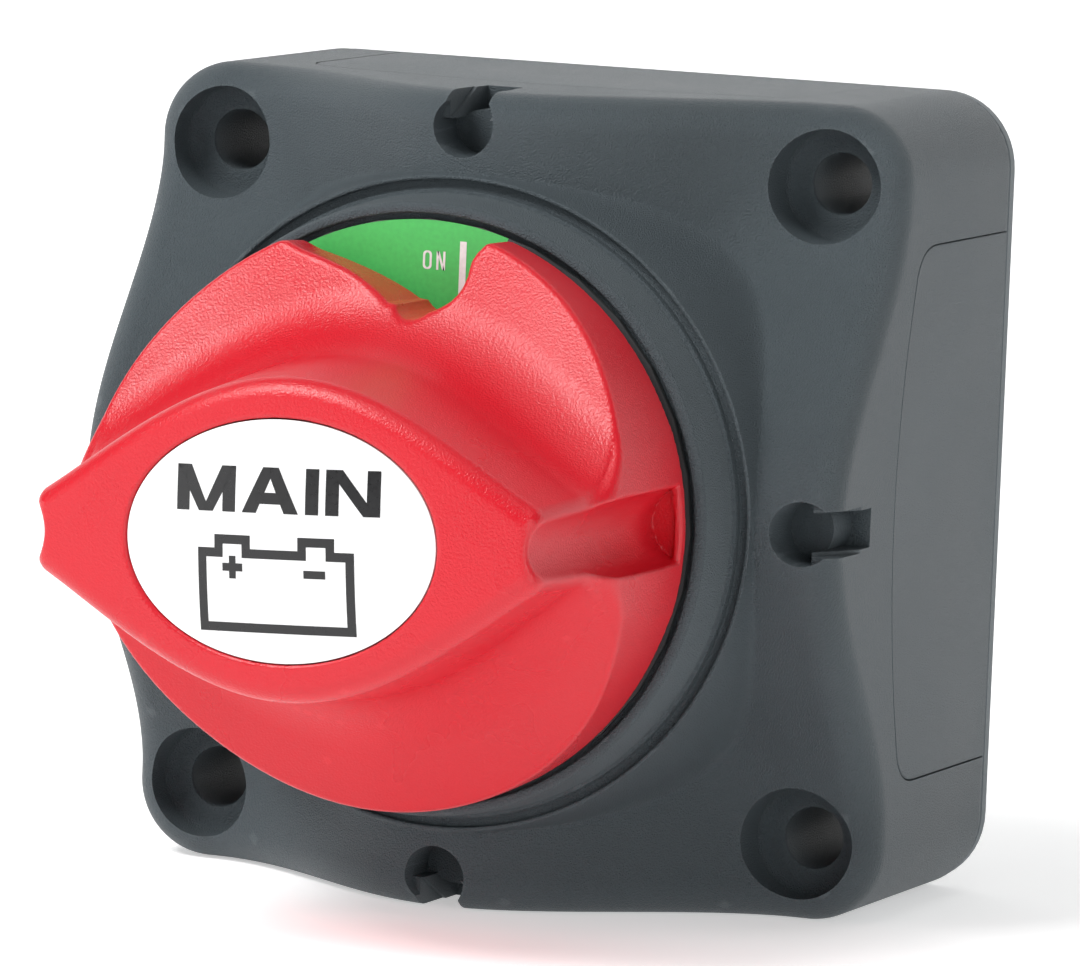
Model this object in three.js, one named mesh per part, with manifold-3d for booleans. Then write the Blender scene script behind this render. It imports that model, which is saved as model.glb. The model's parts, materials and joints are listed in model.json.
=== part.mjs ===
// A surface-mounted marine battery isolating switch: a square housing with a raised
// collar, a red finger knob over an ON/OFF dial, and the cam and contact set behind it.
//
// Everything is drawn in a working frame with x to the right, y up and z out of the
// bulkhead, z = 0 being the mounting face. The exported group turns that frame so that
// the switch stands with +Z up and its knob facing -Y.

import * as THREE from 'three';
import { mergeVertices } from 'three/addons/utils/BufferGeometryUtils.js';
import Module from 'manifold-3d';

const wasm = await Module();
wasm.setup();

// ---------------------------------------------------------------- driving dimensions (mm)

const GAP = 0.3; // clearance between pieces that touch in the real switch
const BEYOND = 50; // cutting tools reach this far, past every face of the housing

const HALF = 34.5; // half the width and half the height of the housing
const CORNER_R = 6.5;
const WALL = 2.5;
const COVER_T = 1.8; // thickness of the rear cover
const COVER_HOLE_R = 4.2; // clearance round the mounting screws
const CORNER_H = 28; // front surface height over the four corners
const CREST_RISE = 13; // extra height at the middle of each side
const CREST_REACH = 27; // distance from the middle over which the crest falls away
const CREST_POWER = 0.85;

const COLLAR_R = 27.57;
const COLLAR_H = 41.64;
const TUBE_FOOT_R = 26.26;
const TUBE_R = 25.5;
const TUBE_H = 47.1;
const DIAL_RECESS_R = 24.75;
const DIAL_FLOOR_H = 45.9;

const SCREW_AT = 27.73; // mounting screws stand at (+-SCREW_AT, +-SCREW_AT)
const SCREW_HOLE_R = 2.575;
const COUNTERBORE_R = 4.8;
const COUNTERBORE_H = 24.2;
const COLUMN_R = 6.6;

const BOSS_R = 3.2; // bosses for the base screws
const PILOT_R = 1.7;
const PILOT_END_H = 28.2;

const SLOT_X = 31.7; // centre of each joining slot's round end
const SLOT_R = 2.7;
const SLOT_HALF = 1.95;
const SLOT_HOLE_FLOOR_H = 36;
const SLOT_FLOOR_H = 32;
const LEDGE_X = 32.1; // two ledges narrow each slot from here outwards
const LEDGE_HALF = 1.65; // half the width left between them
const LEDGE_H = 39;
const LEDGE_END_H = 36.4; // where the ledges' front meets the side

const PLATE_HALF = 22.7; // half length of a side plate
const PLATE_T = 1.4;
const PLATE_SHOULDER_H = 19;
const PLATE_CREST_H = 26.3;
const PLATE_FIT = 0.25; // how much wider the pocket is than its plate

const CHAMBER_R = 20.5; // bore of the switching chamber
const CHAMBER_WALL_R = 23.8;
const CHAMBER_FLOOR_H = 23.3;
const CHAMBER_TOP_H = 43.2;
const NECK_BORE_R = 7.2;
const ROOF_T = 2.8; // thickness of the housing's front wall

const BASE_HALF = 23;
const BASE_T = 4.5;
const BASE_TOP_H = CHAMBER_FLOOR_H - GAP;
const BASE_SCREW_AT = 19.5;
const STUD_X = 13;
const STUD_R = 4.9;
const STUD_PAD_R = 6.8;
const STUD_PAD_TOP_H = 26;
const STUD_END_H = 3.5;
const SPRING_CUP_R = 5.8; // recess in the base for the return spring
const SPRING_CUP_H = 19.7;

const BRIDGE_LENGTH = 38;
const BRIDGE_WIDTH = 12;
const BRIDGE_LOW_H = STUD_PAD_TOP_H + GAP;
const BRIDGE_T = 2.5;

const CARRIER_R = 13.7;
const CARRIER_LOW_H = 32;
const CARRIER_TOP_H = 33.4;
const TRAVEL = 2.7; // contact lift between ON and OFF
const RISE_PER_DEGREE = TRAVEL / 90;
const RAMP_H = 37.5; // rotor ramp height at its own zero angle
const RAMP_START = -93;
const RAMP_END = 33;
const FOLLOWER_SPAN = 30;
const RAMP_IN_R = 8.3;
const RAMP_OUT_R = 14;

const ROTOR_R = 15;
const ROTOR_LOW_H = 40.4;
const ROTOR_TOP_H = CHAMBER_TOP_H - GAP;
const NECK_R = NECK_BORE_R - GAP;
const DRIVER_R = 4.9;
const DRIVER_TOP_H = 62;
const DRIVER_FLATS = 2 * DRIVER_R * Math.cos(Math.PI / 6);
const SEAL_GROOVE = [43.8, 46]; // heights of the rotor's O-ring groove
const SEAL_R = 6.1;
const SEAL_WIRE_R = 0.85;

const KNOB_LOW_H = 48.3;
const KNOB_LOW_R = 24.7;
const KNOB_RIM_R = 24.2;
const KNOB_RIM_H = 52.8; // rim height beside the finger scoops
const KNOB_RIM_RISE = 8; // extra rim height at the ends of the handle
const KNOB_WALL = 2.2;
const KNOB_TRIM = THREE.MathUtils.degToRad(2.5); // the grip's slight turn on its driver
const HANDLE_TOP_H = 74.9;
const HANDLE_EDGE_H = 73.4;
const HANDLE_END = 22.3;
const HANDLE_TIP_HALF = 2.2; // half the width its sides close towards, just past the blunt ends
const HANDLE_SWELL = 11; // how much wider it is at the middle, each side
const SCOOP_RISE = 3.4; // how far the finger scoops climb towards the handle
const SCALLOP_R = 3.2;
const SCALLOP_X = 24.8; // its axis, level with SCALLOP_H
const SCALLOP_H = 63;
const SCALLOP_LEAN = 0.0184; // how far it leans outwards for each mm towards the bulkhead
const LABEL_A = 13.8; // label ellipse, half width
const LABEL_B = 9.9; // label ellipse, half height
const LABEL_FLOOR_H = 72.2;
const LABEL_EDGE_H = 74.4;
const LABEL_CREST_H = 76;
const KNOB_SHELF_H = 65; // seat for the knob screw's washer
const HUB_R = 7.6;
const KNOB_RIB_T = 1.8;
const SCREW_SHANK_R = 1.7;

// ---------------------------------------------------------------- materials

const plastic = (color, roughness) => new THREE.MeshStandardMaterial({ color, roughness, metalness: 0 });
const metal = (color, roughness) => new THREE.MeshStandardMaterial({ color, roughness, metalness: 1 });

const MATERIALS = {
  housing: plastic(0x43484c, 0.55),
  cover: plastic(0x4c5155, 0.6),
  knob: plastic(0xd8242c, 0.4),
  label: plastic(0xf4f5f6, 0.15),
  dial: plastic(0x2fa04e, 0.5),
  moulding: plastic(0x26282a, 0.6),
  acetal: plastic(0xe9e6dc, 0.5),
  rubber: plastic(0x151515, 0.85),
  copper: metal(0xc47a4a, 0.35),
  tinned: metal(0xbfc1c2, 0.35),
  steel: metal(0xa6a8aa, 0.3),
  spring: metal(0x8d8f92, 0.3),
};

// ---------------------------------------------------------------- geometry helpers

// Shares the vertices, drops collapsed triangles and makes every face point outwards.
function weld(source) {
  const bare = new THREE.BufferGeometry();
  bare.setAttribute('position', source.getAttribute('position').clone());
  if (source.index) bare.setIndex(source.index.clone());
  const merged = mergeVertices(bare, 1e-4);
  const kept = [];
  for (let i = 0; i < merged.index.count; i += 3) {
    const [a, b, c] = [0, 1, 2].map((k) => merged.index.getX(i + k));
    if (a !== b && b !== c && c !== a) kept.push(a, b, c);
  }
  if (signedVolume(merged, kept) < 0) kept.reverse();
  merged.setIndex(kept);
  return merged;
}

function signedVolume(geometry, index) {
  const position = geometry.getAttribute('position');
  const [a, b, c] = [new THREE.Vector3(), new THREE.Vector3(), new THREE.Vector3()];
  let sum = 0;
  for (let i = 0; i < index.length; i += 3) {
    a.fromBufferAttribute(position, index[i]);
    b.fromBufferAttribute(position, index[i + 1]);
    c.fromBufferAttribute(position, index[i + 2]);
    sum += a.dot(b.cross(c)) / 6;
  }
  return sum;
}

function toManifold(geometry) {
  const welded = weld(geometry);
  const mesh = new wasm.Mesh({
    numProp: 3,
    vertProperties: new Float32Array(welded.getAttribute('position').array),
    triVerts: new Uint32Array(welded.index.array),
  });
  return new wasm.Manifold(mesh);
}

function fromManifold(manifold) {
  const mesh = manifold.getMesh();
  const geometry = new THREE.BufferGeometry();
  geometry.setAttribute('position', new THREE.BufferAttribute(new Float32Array(mesh.vertProperties), 3));
  geometry.setIndex([...mesh.triVerts]);
  return geometry;
}

const join = (...pieces) => fromManifold(pieces.map(toManifold).reduce((all, next) => all.add(next)));

const cut = (body, ...tools) =>
  fromManifold(tools.map(toManifold).reduce((rest, tool) => rest.subtract(tool), toManifold(body)));

// A straight round bar or disc along z.
function rod(radius, low, high, x = 0, y = 0, sides = 16) {
  const geometry = new THREE.CylinderGeometry(radius, radius, high - low, sides);
  return geometry.rotateX(Math.PI / 2).translate(x, y, (low + high) / 2);
}

function block(x0, x1, y0, y1, z0, z1) {
  const geometry = new THREE.BoxGeometry(x1 - x0, y1 - y0, z1 - z0);
  return geometry.translate((x0 + x1) / 2, (y0 + y1) / 2, (z0 + z1) / 2);
}

function prism(shape, low, high, curveSegments = 6) {
  const options = { depth: high - low, bevelEnabled: false, curveSegments };
  return new THREE.ExtrudeGeometry(shape, options).translate(0, 0, low);
}

// Turns a closed (radius, height) profile about z.
function lathe(profile, sides = 24) {
  const points = profile.map(([radius, height]) => new THREE.Vector2(radius, height));
  return new THREE.LatheGeometry([...points, points[0]], sides).rotateX(Math.PI / 2);
}

const ring = (inner, outer, low, high, sides = 20) =>
  lathe([[inner, low], [outer, low], [outer, high], [inner, high]], sides);

// Skins a stack of rings that have the same number of points and closes both ends.
function loft(rings) {
  const count = rings[0].length;
  const centre = (points) => [0, 1, 2].map((k) => points.reduce((sum, p) => sum + p[k], 0) / count);
  const last = rings.length - 1;
  const vertices = [...rings.flat(), centre(rings[0]), centre(rings[last])];
  const [lowPole, highPole] = [vertices.length - 2, vertices.length - 1];
  const index = [];
  for (let i = 0; i < count; i += 1) {
    const j = (i + 1) % count;
    for (let k = 0; k < last; k += 1) {
      const [low, high] = [k * count, (k + 1) * count];
      index.push(low + i, low + j, high + j, low + i, high + j, high + i);
    }
    index.push(lowPole, j, i, highPole, last * count + i, last * count + j);
  }
  const geometry = new THREE.BufferGeometry();
  geometry.setAttribute('position', new THREE.Float32BufferAttribute(vertices.flat(), 3));
  geometry.setIndex(index);
  return geometry;
}

function roundedSquare(half, radius) {
  const shape = new THREE.Shape();
  const inner = half - radius;
  shape.absarc(inner, inner, radius, 0, Math.PI / 2, false);
  shape.absarc(-inner, inner, radius, Math.PI / 2, Math.PI, false);
  shape.absarc(-inner, -inner, radius, Math.PI, 1.5 * Math.PI, false);
  shape.absarc(inner, -inner, radius, 1.5 * Math.PI, 2 * Math.PI, false);
  return shape;
}

function polygonShape(points) {
  return new THREE.Shape(points.map(([x, y]) => new THREE.Vector2(x, y)));
}

function hexagon(acrossFlats) {
  const radius = acrossFlats / Math.sqrt(3);
  const corner = (k) => [radius * Math.sin(k * Math.PI / 3), radius * Math.cos(k * Math.PI / 3)];
  return polygonShape([0, 1, 2, 3, 4, 5].map(corner));
}

// Wire along a helix with its ends left plain.
function coil(meanRadius, wireRadius, low, high, turns) {
  class Helix extends THREE.Curve {
    getPoint(t, target = new THREE.Vector3()) {
      const angle = 2 * Math.PI * turns * t;
      const height = THREE.MathUtils.lerp(low + wireRadius, high - wireRadius, t);
      return target.set(meanRadius * Math.cos(angle), meanRadius * Math.sin(angle), height);
    }
  }
  const section = new THREE.Shape().absarc(0, 0, wireRadius, 0, 2 * Math.PI, false);
  const options = { steps: Math.round(12 * turns), curveSegments: 3, extrudePath: new Helix() };
  return new THREE.ExtrudeGeometry(section, options);
}

const QUARTERS = [0, 1, 2, 3];
const CORNERS = [[1, 1], [-1, 1], [-1, -1], [1, -1]];
const degrees = THREE.MathUtils.degToRad;

// ---------------------------------------------------------------- housing

// Angles about the axis that fall on the corners' arcs as well as along the sides.
function outlineAngles() {
  const side = Math.atan2(HALF - CORNER_R, HALF);
  const [sideSteps, cornerSteps] = [7, 3];
  const angles = [];
  for (const quarter of QUARTERS) {
    const middle = quarter * Math.PI / 2;
    for (let i = 0; i < sideSteps; i += 1) angles.push(middle - side + (2 * side * i) / sideSteps);
    const corner = Math.PI / 2 - 2 * side;
    for (let i = 0; i < cornerSteps; i += 1) angles.push(middle + side + (corner * i) / cornerSteps);
  }
  return angles;
}

// Where a ray at this angle leaves a rounded square.
function outlineRadius(angle, half, radius) {
  const [c, s] = [Math.abs(Math.cos(angle)), Math.abs(Math.sin(angle))];
  const straight = half / Math.max(c, s);
  const inner = half - radius;
  if (straight * Math.min(c, s) <= inner) return straight;
  const along = inner * (c + s);
  return along + Math.sqrt(along * along - 2 * inner * inner + radius * radius);
}

// The sculpted front: crests at the middle of each side falling to four flat corners.
function frontHeight(x, y) {
  const [a, b] = [Math.abs(x), Math.abs(y)];
  const softness = 6;
  const overlap = Math.max(softness - Math.abs(a - b), 0);
  const nearest = Math.min(Math.min(a, b) - (overlap * overlap) / (4 * softness), CREST_REACH);
  const wave = 0.5 * (1 + Math.cos((Math.PI * Math.max(nearest, 0)) / CREST_REACH));
  return CORNER_H + CREST_RISE * wave ** CREST_POWER;
}

// The front with the collar's steep wall blended into it.
function shoulderHeight(x, y) {
  const radius = Math.hypot(x, y);
  const front = frontHeight(x, y);
  const wall = COLLAR_H - 6 * (radius - COLLAR_R);
  const softness = Math.min(5, Math.max(0.6 * (COLLAR_H - front), 0.2));
  const overlap = Math.max(softness - Math.abs(front - wall), 0);
  return Math.min(Math.max(front, wall) + (overlap * overlap) / (4 * softness), COLLAR_H);
}

function circleRing(angles, radius, height) {
  return angles.map((t) => {
    const [x, y] = [radius * Math.cos(t), radius * Math.sin(t)];
    return [x, y, typeof height === 'function' ? height(x, y) : height];
  });
}

function outlineRing(angles, half, height) {
  const corner = Math.max(CORNER_R - (HALF - half), 1);
  return angles.map((t) => {
    const radius = outlineRadius(t, half, corner);
    const [x, y] = [radius * Math.cos(t), radius * Math.sin(t)];
    return [x, y, typeof height === 'function' ? height(x, y) : height];
  });
}

// A ring part of the way from a circle to the housing's outline.
function blendRing(angles, inner, half, share, height) {
  return angles.map((t) => {
    const outer = outlineRadius(t, half, CORNER_R - (HALF - half));
    const radius = THREE.MathUtils.lerp(inner, outer, share);
    const [x, y] = [radius * Math.cos(t), radius * Math.sin(t)];
    return [x, y, height(x, y)];
  });
}

function housingSkin(angles) {
  const shoulder = (inset) => (x, y) => shoulderHeight(x, y) - inset;
  const foot = COLLAR_R + 3;
  return loft([
    outlineRing(angles, HALF, COVER_T + GAP),
    outlineRing(angles, HALF, shoulder(2.6)),
    outlineRing(angles, HALF - 0.4, shoulder(1.2)),
    outlineRing(angles, HALF - 1.3, shoulder(0.3)),
    outlineRing(angles, HALF - 2.6, shoulder(0)),
    blendRing(angles, foot, HALF - 2.6, 0.67, shoulder(0)),
    blendRing(angles, foot, HALF - 2.6, 0.33, shoulder(0)),
    circleRing(angles, foot, shoulderHeight),
    circleRing(angles, COLLAR_R + 1.7, shoulderHeight),
    circleRing(angles, COLLAR_R + 0.8, shoulderHeight),
    circleRing(angles, COLLAR_R, COLLAR_H),
    circleRing(angles, (COLLAR_R + TUBE_FOOT_R) / 2, COLLAR_H - 0.6),
    circleRing(angles, TUBE_FOOT_R, COLLAR_H),
    circleRing(angles, TUBE_R, TUBE_H),
    circleRing(angles, DIAL_RECESS_R, TUBE_H),
    circleRing(angles, DIAL_RECESS_R, DIAL_FLOOR_H),
  ]);
}

// The hollow behind the front, less the columns, bosses and blocks that stay solid.
function housingHollow(angles) {
  const roof = (x, y) => frontHeight(x, y) - ROOF_T;
  const half = HALF - WALL;
  const hollow = loft([
    outlineRing(angles, half, 1),
    outlineRing(angles, half, roof),
    blendRing(angles, 26.5, half, 0.5, roof),
    circleRing(angles, 26.5, roof),
    circleRing(angles, 24.5, roof),
  ]);
  const columns = CORNERS.map(([sx, sy]) => rod(COLUMN_R, 0, BEYOND, sx * SCREW_AT, sy * SCREW_AT, 12));
  const bosses = CORNERS.map(([sx, sy]) =>
    rod(BOSS_R, CHAMBER_FLOOR_H, BEYOND, sx * BASE_SCREW_AT, sy * BASE_SCREW_AT, 8));
  const slotWidth = SLOT_R + WALL;
  const slotBlocks = QUARTERS.map((k) =>
    block(26.5, HALF, -slotWidth, slotWidth, SLOT_FLOOR_H - 2.2, BEYOND).rotateZ((k * Math.PI) / 2));
  const chamberWall = rod(CHAMBER_WALL_R, CHAMBER_FLOOR_H, BEYOND, 0, 0, 28);
  return cut(hollow, chamberWall, ...columns, ...bosses, ...slotBlocks);
}

// One joining slot: a round hole open to the side, narrowed below its mouth by two ledges.
function clipSlot() {
  const outside = HALF + 2;
  const top = COLLAR_H + 2;
  const mouth = prism(polygonShape([[SLOT_X, LEDGE_H], [33, LEDGE_H - 0.2], [HALF, LEDGE_END_H],
    [outside, LEDGE_END_H - 4], [outside, top], [SLOT_X, top]]), -SLOT_HALF, SLOT_HALF);
  const hole = rod(SLOT_R, SLOT_HOLE_FLOOR_H, top, SLOT_X, 0, 16);
  const ledges = block(LEDGE_X, outside, -SLOT_R - 1, SLOT_R + 1, SLOT_HOLE_FLOOR_H - 1, LEDGE_H);
  return join(
    cut(hole, ledges),
    mouth.rotateX(Math.PI / 2),
    block(LEDGE_X + 0.7, outside, -LEDGE_HALF, LEDGE_HALF, SLOT_FLOOR_H, LEDGE_H),
    block(SLOT_X, outside, -LEDGE_HALF, LEDGE_HALF, SLOT_HOLE_FLOOR_H, LEDGE_H),
  );
}

function platePocketOutline(grow) {
  const half = PLATE_HALF + grow;
  const shape = new THREE.Shape();
  shape.moveTo(-half, COVER_T - 2);
  shape.lineTo(half, COVER_T - 2);
  shape.lineTo(half, PLATE_SHOULDER_H + grow);
  shape.quadraticCurveTo(half, PLATE_SHOULDER_H + 4 + grow, half - 3.4, PLATE_SHOULDER_H + 4.6 + grow);
  shape.quadraticCurveTo(0, PLATE_CREST_H + 2.9 + grow, -half + 3.4, PLATE_SHOULDER_H + 4.6 + grow);
  shape.quadraticCurveTo(-half, PLATE_SHOULDER_H + 4 + grow, -half, PLATE_SHOULDER_H + grow);
  return shape;
}

// Stands an outline drawn as (along the side, height) up against one side of the housing.
function againstSide(shape, inner, outer, quarter) {
  const flat = prism(shape, inner, outer);
  const upright = new THREE.Matrix4().set(0, 0, 1, 0, 1, 0, 0, 0, 0, 1, 0, 0, 0, 0, 0, 1);
  return flat.applyMatrix4(upright).rotateZ((quarter * Math.PI) / 2);
}

function cableWindow() {
  return polygonShape([[-18, 5], [18, 5], [18, 17.5], [14, 21], [-14, 21], [-18, 17.5]]);
}

// Guides for the contact carrier, and end stops for the detent springs and the rotor.
function chamberRibs() {
  const ribs = [];
  for (const side of [-1, 1]) {
    for (const x of [-4.3, 4.3]) {
      const guide = block(x - 1, x + 1, 15.5, 21.5, 30, ROTOR_LOW_H - 0.4);
      ribs.push(guide.rotateZ(side > 0 ? 0 : Math.PI));
    }
    for (const end of [-1, 1]) {
      const low = Math.min(end * 10.1, end * 11.9);
      ribs.push(block(15.8, 19, low, low + 1.8, 39, 44).rotateZ(side > 0 ? 0 : Math.PI));
    }
  }
  return ribs;
}

function housingGeometry() {
  const angles = outlineAngles();
  const screws = CORNERS.flatMap(([sx, sy]) => [
    rod(SCREW_HOLE_R, 0, BEYOND, sx * SCREW_AT, sy * SCREW_AT, 12),
    rod(COUNTERBORE_R, COUNTERBORE_H, BEYOND, sx * SCREW_AT, sy * SCREW_AT, 20),
  ]);
  const pilotHoles = CORNERS.map(([sx, sy]) =>
    rod(PILOT_R, 0, PILOT_END_H, sx * BASE_SCREW_AT, sy * BASE_SCREW_AT, 8));
  const sides = QUARTERS.flatMap((k) => [
    againstSide(platePocketOutline(PLATE_FIT), HALF - PLATE_T - GAP, HALF + 1, k),
    againstSide(cableWindow(), HALF - WALL - 1, HALF, k),
    clipSlot().rotateZ((k * Math.PI) / 2),
  ]);
  const shell = cut(housingSkin(angles), housingHollow(angles), ...screws, ...pilotHoles, ...sides);
  const chamber = rod(CHAMBER_R, CHAMBER_FLOOR_H - 1, CHAMBER_TOP_H, 0, 0, 32);
  const neck = rod(NECK_BORE_R, CHAMBER_TOP_H - 1, TUBE_H, 0, 0, 24);
  return cut(shell, cut(chamber, ...chamberRibs()), neck);
}

function sidePlateGeometry(quarter) {
  const inner = HALF - PLATE_T;
  const plate = againstSide(platePocketOutline(0), inner, HALF, quarter);
  return cut(plate, block(-BEYOND, BEYOND, -BEYOND, BEYOND, -5, COVER_T + GAP));
}

function rearCoverGeometry() {
  const half = HALF - 0.1;
  const holes = CORNERS.map(([sx, sy]) => rod(COVER_HOLE_R, -1, 6, sx * SCREW_AT, sy * SCREW_AT, 12));
  const edge = [[half - 0.6, 0], [half, 0.6], [half, COVER_T]].map(([size, height]) =>
    outlineAngles().map((t) => {
      const radius = outlineRadius(t, size, CORNER_R);
      return [radius * Math.cos(t), radius * Math.sin(t), height];
    }));
  const locators = QUARTERS.map((k) =>
    block(29.9, 31.6, -17, 17, COVER_T - 0.5, 4.4).rotateZ((k * Math.PI) / 2));
  return cut(join(loft(edge), ...locators), ...holes);
}

// ---------------------------------------------------------------- dial and knob

function dialGeometry() {
  return ring(8, DIAL_RECESS_R - 0.45, DIAL_FLOOR_H + GAP, DIAL_FLOOR_H + GAP + 0.5, 32);
}

// Half the handle's thickness at a distance along it: a lens that closes at both ends.
function handleHalfWidth(x) {
  const reach = 23;
  const wave = 0.5 * (1 + Math.cos((Math.PI * Math.min(Math.abs(x), reach)) / reach));
  return HANDLE_TIP_HALF + HANDLE_SWELL * wave ** 0.53;
}

// Distance from the axis to the handle's edge in the direction of an angle.
function handleRadius(angle) {
  const [c, s] = [Math.abs(Math.cos(angle)), Math.abs(Math.sin(angle))];
  let [low, high] = [0, HANDLE_END / Math.max(c, 1e-6)];
  if (high * s <= handleHalfWidth(HANDLE_END)) return high;
  high = Math.min(high, 30);
  for (let i = 0; i < 40; i += 1) {
    const middle = (low + high) / 2;
    if (middle * s < handleHalfWidth(middle * c)) low = middle;
    else high = middle;
  }
  return low;
}

const rimHeight = (angle) => KNOB_RIM_H + KNOB_RIM_RISE * Math.abs(Math.cos(angle)) ** 3.7;

// One ring of the knob: each point is pulled inside the rim where the handle reaches it.
function knobRing(radiusAt, heightAt, limit = Infinity) {
  const count = 56;
  return Array.from({ length: count }, (_, i) => {
    const t = (2 * Math.PI * i) / count;
    const radius = Math.min(radiusAt(t), limit);
    return [radius * Math.cos(t), radius * Math.sin(t), heightAt(t)];
  });
}

function knobSkin() {
  const skirt = (share) => (t) => THREE.MathUtils.lerp(handleRadius(t) + 3.2, KNOB_RIM_R, share);
  const scoop = (share) => (t) => rimHeight(t) + SCOOP_RISE * (1 - share) * (1 - Math.abs(Math.cos(t)) ** 4);
  const blend = (share) => (t) => THREE.MathUtils.lerp(scoop(0)(t), HANDLE_EDGE_H, share);
  const flat = (height) => () => height;
  return loft([
    knobRing(flat(KNOB_LOW_R), flat(KNOB_LOW_H)),
    knobRing(flat(KNOB_RIM_R + 0.35), (t) => rimHeight(t) - 1),
    knobRing(flat(KNOB_RIM_R - 0.25), rimHeight),
    knobRing(skirt(0.5), scoop(0.5), KNOB_RIM_R - 0.5),
    knobRing(skirt(0), blend(0.04), KNOB_RIM_R - 0.75),
    knobRing((t) => handleRadius(t) + 1.4, blend(0.22), KNOB_RIM_R - 1),
    knobRing((t) => handleRadius(t) + 0.7, blend(0.55), KNOB_RIM_R - 1.25),
    knobRing((t) => handleRadius(t) + 0.1, blend(0.96)),
    knobRing((t) => handleRadius(t) - 0.8, flat(HANDLE_EDGE_H + 0.7)),
    knobRing((t) => handleRadius(t) - 2.2, flat(HANDLE_TOP_H)),
  ]);
}

function knobHollow() {
  const nearEnd = (t) => Math.abs(Math.cos(t)) ** 12;
  const skirtRadius = (t) => KNOB_RIM_R - KNOB_WALL - 4 * nearEnd(t);
  const coreRadius = (t) => Math.min(handleRadius(t) - 2.4, 16);
  return loft([
    knobRing(skirtRadius, () => KNOB_LOW_H - 1),
    knobRing(skirtRadius, (t) => rimHeight(t) - KNOB_WALL - 4 * nearEnd(t)),
    knobRing((t) => coreRadius(t) + 1.6, (t) => rimHeight(t) + 0.6 - 3 * nearEnd(t)),
    knobRing(coreRadius, () => 62),
    knobRing((t) => coreRadius(t) - 0.4, () => LABEL_FLOOR_H - KNOB_WALL),
  ]);
}

function ellipseShape(a, b) {
  return new THREE.Shape().absellipse(0, 0, a, b, 0, 2 * Math.PI, false, 0);
}

// The dial shows through this cut in the skirt above the handle.
function windowShape() {
  const shape = new THREE.Shape();
  shape.moveTo(-11.5, 23.2);
  shape.lineTo(-8, 21.6);
  shape.quadraticCurveTo(-2.2, 19.9, 1, 17.8);
  shape.absarc(3.4, 18.6, 1.9, 1.15 * Math.PI, 1.75 * Math.PI, false);
  shape.quadraticCurveTo(7.6, 18.2, 7.6, 21);
  shape.quadraticCurveTo(7.7, 22.6, 11.5, 24.6);
  shape.lineTo(6, 29);
  shape.lineTo(-8, 29);
  return shape;
}

// The scallop down each blunt end of the handle, closed by a lip at the lower rim.
function endScallop(side) {
  const [top, bottom] = [78, 49.6];
  const tool = rod(SCALLOP_R, bottom - SCALLOP_H, top - SCALLOP_H, 0, 0, 20);
  const leaning = tool.rotateY(-Math.atan(SCALLOP_LEAN)).translate(SCALLOP_X, 0, SCALLOP_H);
  return leaning.rotateZ(side > 0 ? 0 : Math.PI);
}

function knobGeometry() {
  const hub = rod(HUB_R, KNOB_LOW_H, LABEL_FLOOR_H, 0, 0, 24);
  const rib = block(-17, 17, -KNOB_RIB_T / 2, KNOB_RIB_T / 2, KNOB_RIM_H, LABEL_FLOOR_H);
  const label = prism(ellipseShape(LABEL_A + GAP, LABEL_B + GAP), LABEL_FLOOR_H, HANDLE_TOP_H + 2, 18);
  const driver = prism(hexagon(DRIVER_FLATS + 2 * GAP), KNOB_LOW_H - 2, DRIVER_TOP_H + GAP);
  return cut(
    knobSkin(), cut(knobHollow(), hub, rib), label, endScallop(1), endScallop(-1),
    prism(windowShape(), KNOB_LOW_H - 2, KNOB_RIM_H + 10, 8),
    driver.rotateZ(-KNOB_TRIM),
    rod(SCREW_SHANK_R + 0.4, DRIVER_TOP_H, KNOB_SHELF_H + 1, 0, 0, 16),
    rod(4.6, KNOB_SHELF_H, LABEL_FLOOR_H + 1, 0, 0, 20),
  );
}

function labelGeometry() {
  const count = 44;
  const oval = (share, height) => Array.from({ length: count }, (_, i) => {
    const t = (2 * Math.PI * i) / count;
    return [LABEL_A * share * Math.cos(t), LABEL_B * share * Math.sin(t), height];
  });
  const dome = [1, 0.93, 0.65].map((share) =>
    oval(share, LABEL_EDGE_H + (LABEL_CREST_H - LABEL_EDGE_H) * (1 - share ** 2)));
  return loft([oval(1, LABEL_FLOOR_H + GAP), ...dome]);
}

function knobScrewGeometry() {
  const headLow = KNOB_SHELF_H + 1.4;
  const shank = lathe([[0, 51], [1.3, 51], [SCREW_SHANK_R, 51.6], [SCREW_SHANK_R, headLow], [3.6, headLow],
    [3.6, headLow + 1.4], [2.6, headLow + 2.5], [0, headLow + 2.5]], 18);
  const cross = [0, 1].map((k) =>
    block(-1.9, 1.9, -0.4, 0.4, headLow + 1.1, headLow + 4).rotateZ((k * Math.PI) / 2));
  return cut(shank, ...cross);
}

const knobWasherGeometry = () => ring(2.1, 4.1, KNOB_SHELF_H + GAP, KNOB_SHELF_H + 1.1, 20);

// ---------------------------------------------------------------- cam and contact set

// A block between two radii and two angles whose top or bottom can climb with angle.
function sector(inner, outer, start, end, lowAt, highAt) {
  const steps = Math.max(2, Math.round((end - start) / 6));
  return loft(Array.from({ length: steps + 1 }, (_, i) => {
    const angle = THREE.MathUtils.lerp(start, end, i / steps);
    const [c, s] = [Math.cos(degrees(angle)), Math.sin(degrees(angle))];
    const [low, high] = [lowAt(angle), highAt(angle)];
    return [[inner, low], [outer, low], [outer, high], [inner, high]].map(([r, z]) => [r * c, r * s, z]);
  }));
}

const halfTurns = (make) => [0, 1].map((k) => make().rotateZ(k * Math.PI));

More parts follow.
